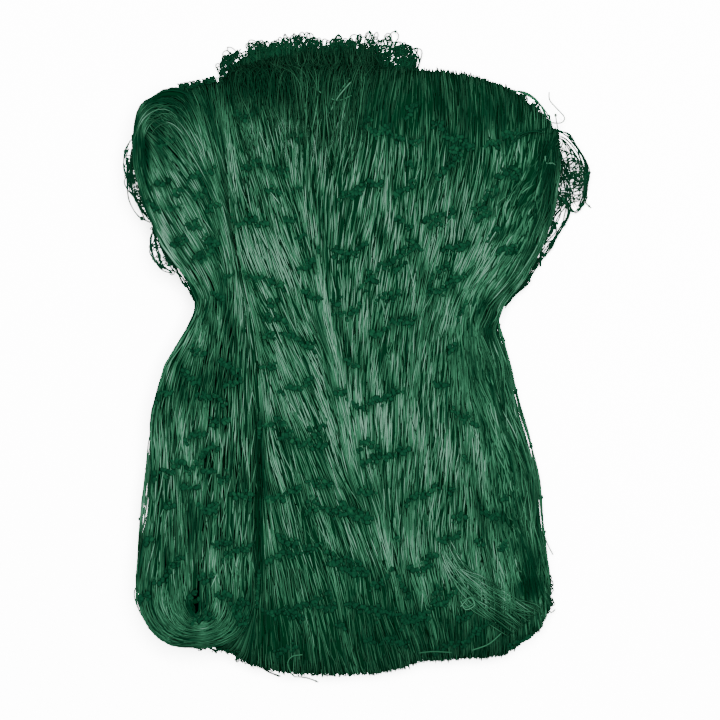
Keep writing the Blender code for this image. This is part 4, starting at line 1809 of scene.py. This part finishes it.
THREADS = (
    Thread((
        (84.2, 118.3, 13), (84.6, 114.8, 11.5), (88, 111.3, 9.5), (91.4, 107.5, 8.5), (89.6, 105, 9.5),
        (84.4, 104.8, 13), (81.5, 103.5, 18),
    ), tone=0.35),
    Thread(((87.3, 108.4, 10), (87.5, 104.4, 14), (87.9, 99.2, 20)), knotted=(0,), tone=0.35),
    Thread(((66.5, 117.8, 22), (72.9, 117, 20), (78.9, 113, 18), (83.3, 106.5, 18), (86, 101, 18)),
        strands=3, spread=0.45, tone=0.35),
    Thread(((100.6, 74.8, 4), (100.9, 72.3, 3), (101.5, 70.2, 1.6), (104, 67.9, 0.8)), knotted=(1,),
        tone=0.35),
    Thread(BAG_LINES[0], strands=5, spread=0.5, knotted=(0.55, 0.8, 0.95)),
    Thread(((98.5, 68, 5), (96, 66, 4), (93.5, 68.5, 5), (92, 73, 7)), strands=2, spread=0.4,
        knotted=(0.1, 0.4)),
    Thread(BAG_HANG[1], strands=6, spread=0.7, knotted=(0.2, 0.45, 0.7)),
    Thread(BAG_HANG[0], strands=8, spread=1.5, knotted=(0.08, 0.3, 0.55)),
    Thread(((87, 76, 12), (90.5, 70, 8), (87.5, 63, 7), (87, 56, 6), (81.5, 50, 7), (79.5, 43, 7)),
        strands=3, spread=1, knotted=(0.2, 0.5)),
    Thread(((80.9, 88.4, 33), (81.4, 85.4, 32), (84.9, 85.6, 28), (88.8, 82.9, 18)), tone=0.5),
    Thread(((-98.8, 95.5, 30), (-101.2, 91.5, 28), (-102, 86, 27), (-101.3, 81, 27), (-99.4, 78.5, 28)),
        strands=2, spread=0.3, knotted=(0.3,)),
    Thread((
        (-100.6, 88, 28), (-100.8, 80, 27), (-100.5, 72, 26), (-98.8, 66.5, 25), (-95.5, 62.6, 24),
        (-91, 60.4, 26),
    ), strands=3, spread=0.2, knotted=(0.85,)),
    Thread(((-97.5, 93, 31), (-98.8, 86, 30), (-98.8, 78, 29), (-97, 70, 29), (-92, 63, 30)), strands=8,
        spread=1.3),
    Thread((
        (-88.5, 57, 29), (-90.2, 52, 28), (-90.2, 47.5, 28), (-88.5, 43, 28), (-85, 40, 28),
        (-81, 38, 28),
    ), strands=4, spread=0.5, knotted=(0.3, 0.6)),
    Thread(((-88, 56.5, 29), (-87.6, 50, 28), (-86.8, 45, 28), (-85.5, 40, 28)), strands=4, spread=0.6),
    Thread(((-86.8, 54, 30), (-85, 49, 29), (-82.5, 45, 29), (-79.5, 40.5, 29)), strands=4, spread=0.5),
    Thread((
        (-86.5, 52, 29), (-84.2, 46, 28), (-80.3, 41, 28), (-76.3, 35, 28), (-73.5, 29.5, 28),
        (-70.7, 24.5, 28),
    ), strands=4, spread=0.5, knotted=(0.35, 0.7)),
    Thread(((-53, 124, 8), (-56.5, 130, 6), (-57, 133, 5), (-53.5, 136.5, 4)), strands=9, spread=1),
    Thread(((-57, 123.5, 8), (-60, 128, 6), (-60.5, 132, 5), (-57, 136, 4)), strands=8, spread=0.8),
    Thread((
        (8, 131, 4), (12, 136.5, 3.5), (17, 139.5, 3.5), (24, 139, 3.5), (25.5, 133, 3.5),
        (24, 127.5, 3.5),
    ), strands=5, spread=1.5),
    Thread((
        (61, 20, 10), (64, 8, 9), (67.3, -5, 9), (71.3, -20, 8), (76, -35, 8), (79.3, -50, 8),
        (81, -65, 8), (82.4, -80, 8), (84.6, -95, 8), (85.4, -107, 8),
    ), strands=6, spread=0.5, knotted=(0.1, 0.29, 0.47, 0.64, 0.76, 0.9), tone=0.32),
    Thread(((80.9, -74, 14), (82.3, -77.5, 12), (84, -82, 9), (86.5, -86.5, 6)), tone=0.35),
    Thread(((83.6, -107, 12), (85.2, -112, 8), (87.5, -111, 5)), tone=0.35),
    Thread(((74.3, -121.5, 16), (73.4, -123.9, 12), (70.6, -126, 8), (69.3, -129.6, 5)), tone=0.35),
    Thread(((26.1, -126.8, 1.6), (32, -126, 1.8), (40.4, -126.4, 1.6)), on_net=True, tone=0.31),
    Thread(((49.2, -125.5, 1.6), (56.4, -123, 1.8), (61.9, -118.5, 1.6)), on_net=True, tone=0.31),
    Thread((
        (-69, 24, 27), (-74.5, 12.5, 26), (-83, -3, 25), (-88, -20, 25), (-91, -36, 25), (-93, -50, 25),
        (-94.5, -66, 25), (-95.8, -84, 25), (-97, -96, 24), (-96, -107, 23), (-92, -116, 22),
    ), strands=3, spread=0.3, knotted=(0.12, 0.3, 0.48, 0.62, 0.78), tone=0.35),
    Thread(((-95.5, -96.5, 27), (-98, -101.5, 23), (-97, -108, 20), (-92.5, -116, 22)), tone=0.35),
    Thread(((-52, -124, 26), (-52.6, -128.5, 14), (-52.2, -134.2, 6)), strands=3, spread=0.4),
    Thread(((-51.5, -124.5, 26), (-50, -129.8, 12), (-47.9, -134.8, 5)), strands=3, spread=0.4),
    Thread(((-46.7, -131, 22), (-43.5, -134.5, 13), (-40, -138.4, 5), (-35.2, -141.8, 1.2)), strands=2,
        spread=0.3),
    Thread((
        (-24.2, -127.8, 31.9), (-28.5, -128.4, 31.7), (-30.6, -131, 30.3), (-30.2, -134.5, 27.4),
        (-28.4, -138.4, 21.5), (-27, -140, 12), (-25, -141.2, 4), (-21.6, -142.3, 1.5),
        (-17.9, -143.9, 0.8),
    ), knotted=(1,), tone=0.35),
    Thread((
        (44, -104, 2.9), (46.5, -107.5, 3.1), (49.5, -106, 3.1), (48, -103, 2.9), (44.5, -105.5, 2.9),
    ), on_net=True, strands=2, spread=0.5, tone=0.4),
    Thread(((-20, 118.5, 1.4), (-10, 112.5, 1.6), (-3, 114.5, 1.4)), on_net=True, tone=0.5),
    Thread(((-4, 121.5, 1), (-9, 114, 1.5), (-12, 108, 1.5), (-15, 103, 1.2)), on_net=True, strands=2,
        spread=0.5, tone=0.5),
    Thread(((65, 92, 1.4), (70, 97, 1.6), (76, 98.5, 1.6), (81, 100, 1)), on_net=True, strands=3,
        spread=0.8, tone=0.28),
)


# The studio


@dataclass(frozen=True)
class Studio:
    """A white table, a broad soft light overhead and a long lens straight above."""

    picture: int = 720
    scale: float = 0.4386
    focus_height: float = 20.0
    lens: float = 120.0
    sensor: float = 36.0
    view_x: float = 6.7
    view_y: float = -1.6
    floor_size: float = 6.0
    floor_height: float = -0.0002
    floor_colour: str = "#fdfdfd"
    floor_roughness: float = 0.9
    floor_specular: float = 0.1
    lamp_place: Triple = (0.05, 0.1, 1.5)
    lamp_size: float = 0.6
    lamp_power: float = 320.0
    sky_strength: float = 1.5

    def floor(self) -> None:
        """A pale floor under the net."""
        bpy.ops.mesh.primitive_plane_add(size=self.floor_size, location=(0.0, 0.0, self.floor_height))
        ground = bpy.context.object
        ground.name = "table"
        material = bpy.data.materials.new("white_board")
        material.use_nodes = True
        shader = material.node_tree.nodes["Principled BSDF"]
        shader.inputs["Base Color"].default_value = linear(self.floor_colour)
        shader.inputs["Roughness"].default_value = self.floor_roughness
        shader.inputs["Specular IOR Level"].default_value = self.floor_specular
        ground.data.materials.append(material)

    def light(self) -> None:
        """A square soft light that faces the net, in a white room."""
        lamp = bpy.data.lights.new("overhead", "AREA")
        lamp.size = self.lamp_size
        lamp.energy = self.lamp_power
        holder = bpy.data.objects.new("overhead", lamp)
        bpy.context.scene.collection.objects.link(holder)
        holder.location = self.lamp_place
        direction = -holder.location
        holder.rotation_euler = direction.to_track_quat("-Z", "Y").to_euler()
        world = bpy.data.worlds.new("studio")
        bpy.context.scene.world = world
        world.use_nodes = True
        sky = world.node_tree.nodes["Background"]
        sky.inputs["Color"].default_value = (1.0, 1.0, 1.0, 1.0)
        sky.inputs["Strength"].default_value = self.sky_strength

    def build(self) -> None:
        """Set the floor, the lights and the camera."""
        self.floor()
        self.light()
        camera = bpy.data.cameras.new("camera")
        camera.lens = self.lens
        camera.sensor_width = self.sensor
        holder = bpy.data.objects.new("camera", camera)
        bpy.context.scene.collection.objects.link(holder)
        distance = self.lens / self.sensor * self.picture * self.scale
        holder.location = (self.view_x * MM, self.view_y * MM, (distance + self.focus_height) * MM)
        bpy.context.scene.camera = holder


@dataclass
class Netting:
    """Builds every piece of the folded net in its own frame."""

    stack: FoldedStack = FoldedStack()
    pieces: list[bpy.types.Object] = field(default_factory=list)
    shift: Triple = DRAWN_CENTRE
    cover_levels: tuple = (1.0, 0.86, 0.72, 0.6, 0.5)
    cover_ends: Pair = (95.0, -104.0)
    cover_stations: int = 40
    cover_lift: float = 0.4

    def __post_init__(self) -> None:
        """Lay out the knots first, because strands sink at them and shade is painted into their tones there.
        """
        self.strand, self.knot, self.mass = (finish.value.build() for finish in Finish)
        self.crown = Crown(self.stack)
        rows, lobe_rows = KnotRows(), KnotRows(seed=31, wander=0.7)
        left, groove, right = (partial(OUTLINE.read, name) for name in ("left", "groove", "right"))
        flat_groups = rows.groups(-124.0, 108.0, lambda y: groove(y) + 3.0, lambda y: right(y) - 5.0)
        lobe_groups = lobe_rows.groups(-112.0, 100.0, lambda y: left(y) + 4.0, lambda y: groove(y) - 3.0)
        self.flat_spots = rows.positions(np.concatenate([FLAT_ROWS, flat_groups]))
        self.margin_spots = lobe_rows.positions(np.concatenate([MARGIN_ROWS, lobe_groups]))
        edge = left(self.margin_spots[:, 1]) + 1.0
        self.margin_spots[:, 0] = np.maximum(self.margin_spots[:, 0], edge)
        crowd = Crowd(np.concatenate([self.flat_spots, self.margin_spots]))
        self.coats = StrandCoats(self.stack, self.crown, crowd)
        self.knots = Knots(self.stack, self.crown)

    def sheet(self) -> bpy.types.Object:
        """Build the massed ribbon, which stands in for the solid."""
        # The sheet takes the near-black finish, a painted shadow for the depths between strands.
        base = NetSheet(self.stack).build().build(self.mass, self.shift)
        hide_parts(NODE)
        return base

    def write(self, cloud: Cloud, material: bpy.types.Material) -> None:
        """Write a finished cloud as a piece."""
        self.pieces.append(cloud.build(material, self.shift))

    def flat_part(self) -> None:
        """Three coats of strands over the flat part and its turns, and sparse near-black strands as painted
        shadow in the slits between them.
        """
        # Tones rise from the under coat to the upper: darker below as painted shade, pale on top as painted
        # sheen.
        coats = {
            "under": Coat(
                0.65, -0.3, 0.25, (120.0, 240.0), 0.24, 0.16, 0.42, 6.0, stray=2.0, wander=0.6, give=0.25
            ),
            "middle": Coat(0.85, 0.1, 0.35, (14.0, 34.0), 0.48, radius=0.3, wander=0.4),
            "upper": Coat(
                1.0, 0.55, 0.4, (8.0, 15.3), 0.73, step=2.8, radius=0.31, bury=1.0, stray=3.6, wander=0.4
            ),
            # Near-black strands in the shadow finish: painted shadow for the dark slits between strands.
            "painted_slit_shadow": Coat(7.0, 0.9, 0.3, (5.0, 10.0), 0.1, 0.1, 0.22, 2.5, bury=0.6, stray=4.0),
        }
        for name, coat in coats.items():
            cloud = Cloud(f"flat_strands_{name}")
            self.coats.top(cloud, coat)
            self.write(cloud, self.mass if name == "painted_slit_shadow" else self.strand)

    def margin_part(self) -> None:
        """Strands round the upturned margin, its fan and the wedge beside its head."""
        lanes = [[row[2:] for row in MARGIN_TRACK], [row[:2] for row in MARGIN_TRACK]]
        track = Swath(lanes, closed=True, rim=0.8)
        bands = (track, Swath(SLIT_COVER, ragged=16.0), Swath(MARGIN_FAN), Swath(HEAD_WEDGE))
        # Tones rise from the under coat to the upper: painted shade below, painted sheen on top, palest on
        # the single strands that arch over the head.
        under = Coat(
            0.36, -0.05, 0.3, (60.0, 160.0), 0.17, 0.18, 0.36, 6.0, stray=0.8, wander=0.7, give=0.3
        )
        middle = Coat(0.75, 0.1, 0.35, (16.0, 40.0), 0.38, radius=0.27, stray=3.5, wander=0.6)
        upper = Coat(
            0.74, 0.5, 0.4, (8.0, 16.0), 0.7, step=2.8, radius=0.3, bury=1.0, stray=4.5, wander=0.5
        )
        single = Coat(1.6, 1.0, 0.3, (14.0, 34.0), 1.5, 0.3, 0.23, 2.6, bury=0.8, stray=6.0, give=0.0)
        pieces = {
            "under": [(band, coat) for band in bands for coat in (under, middle)],
            "upper": [(band, upper) for band in bands] + [(Swath(HEAD_ARCH), single)],
        }
        for name, layers in pieces.items():
            cloud = Cloud(f"margin_strands_{name}")
            for band, coat in layers:
                self.coats.swath(cloud, band, coat)
            self.write(cloud, self.strand)

    def sides(self) -> None:
        """Strands on the flank, the wall, the underside, the free end and the drape above it."""
        # Here and in the drape below, tones rise with lift: deeper coats darker as painted shade, outer ones
        # paler as painted sheen.
        inner = Coat(0.8, -0.6, 0.4, (90.0, 200.0), 0.15, radius=0.3)
        outer = Coat(0.8, 0.1, 0.5, (20.0, 70.0), 0.36, tone_spread=0.2)
        cover = Coat(
            0.7, 0.3, 0.4, (12.0, 30.0), 0.5, 0.28, step=3.0, radius=0.3, bury=1.0, stray=9.0, wander=0.8
        )
        cloud = Cloud("flank_strands")
        self.coats.flank(cloud, inner)
        self.coats.flank(cloud, outer)
        along = np.linspace(*self.cover_ends, self.cover_stations)
        levels, stations = np.meshgrid(self.cover_levels, along, indexing="ij")
        guides = self.stack.main(np.ones(levels.shape), stations, levels)
        guides[..., 0] += self.cover_lift
        self.coats.swath(cloud, Swath(guides), cover)
        self.write(cloud, self.strand)
        cloud = Cloud("underside_strands")
        self.coats.shell(cloud, Coat(1.15, 0.05, 0.25, (70.0, 160.0), 0.34, 0.22, 0.42, 6.0))
        self.write(cloud, self.strand)
        cloud = Cloud("free_end_strands")
        self.coats.tail(cloud, Coat(0.5, 0.1, 1.5, (30.0, 31.0), 0.25))
        for tone, lift, ragged in ((0.1, -0.6, 46.0), (0.3, 0.0, 42.0), (0.6, 0.5, 34.0)):
            coat = Coat(0.8, lift, 0.4, (24.0, 60.0), tone, step=2.5, bury=0.8)
            self.coats.swath(cloud, Swath(HEAD_DRAPE, ragged=ragged), coat)
        self.write(cloud, self.strand)

    def loose_part(self) -> None:
        """Open mesh at the edges, loose threads, and every knot."""
        loose = LooseTwine(self.crown, self.knots)
        cloud, dark = Cloud("loose_twine"), Cloud("open_mesh")
        knot_cloud = Cloud("knots")
        dense = Coat(0.32, 0.2, 0.6, (14.0, 40.0), 0.4, step=2.0, bury=0.3, radius=0.29, stray=6.0)
        sparse = Coat(1.6, 0.2, 0.6, (8.0, 24.0), 0.4, step=2.0, bury=0.3, radius=0.27, stray=14.0)
        middle = replace(dense, pitch=0.68, stray=12.0, radius=0.33)
        inner = replace(dense, pitch=0.42, stray=10.0, radius=0.33)
        self.coats.swath(dark, Swath(BAG_LINES[:2]), dense)
        self.coats.swath(dark, Swath(BAG_LINES[1:3], ragged=16.0), middle)
        self.coats.swath(dark, Swath(BAG_LINES[1:3]), sparse)
        self.coats.swath(dark, Swath(BAG_LINES[2:], ragged=20.0), inner)
        self.coats.swath(dark, Swath(BAG_LINES[2:]), sparse)
        self.coats.swath(cloud, Swath(SEAM_BAND), replace(dense, pitch=0.16, tone=0.4, stray=2.0))
        for fray in FRAYS:
            loose.fray(dark, knot_cloud, fray)
        for thread in THREADS:
            loose.thread(dark if thread.tone < loose.dark_below else cloud, knot_cloud, thread)
        self.write(cloud, self.strand)
        self.write(dark, self.knot)
        flat_spots, margin_spots = (
            spots[self.coats.hollow_shade(*spots.T) < self.knots.hollow_limit]
            for spots in (self.flat_spots, self.margin_spots)
        )
        self.knots.on_flat(knot_cloud, flat_spots)
        self.knots.on_margin(knot_cloud, margin_spots)
        self.write(knot_cloud, self.knot)

    def fan_part(self) -> None:
        """The swept strands at the foot's right corner."""
        cloud = Cloud("foot_fan")
        # The lower coat's darker tone is painted shade, the upper coat's pale one painted sheen.
        dark = Coat(0.46, 0.9, 0.5, (16.0, 44.0), 0.44, 0.3, 0.3, stray=7.0, give=0.0)
        light = Coat(0.9, 1.7, 0.5, (8.0, 24.0), 1.05, step=2.5, radius=0.24, stray=9.0, give=0.0)
        for coat in (dark, light):
            self.coats.swath(cloud, Swath(FOOT_FAN), coat)
        self.write(cloud, self.strand)


def main() -> None:
    """Build the netting and its studio, and report each piece."""
    logging.basicConfig(level=logging.INFO, format="%(message)s")
    net = Netting()
    base = net.sheet()
    net.flat_part()
    net.margin_part()
    net.sides()
    net.fan_part()
    net.loose_part()
    flat = (GATHERED_WIDTH * MM, float(net.stack.winding.travel[-1]) * MM)
    Studio().build()
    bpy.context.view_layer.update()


if __name__ == "__main__":
    main()
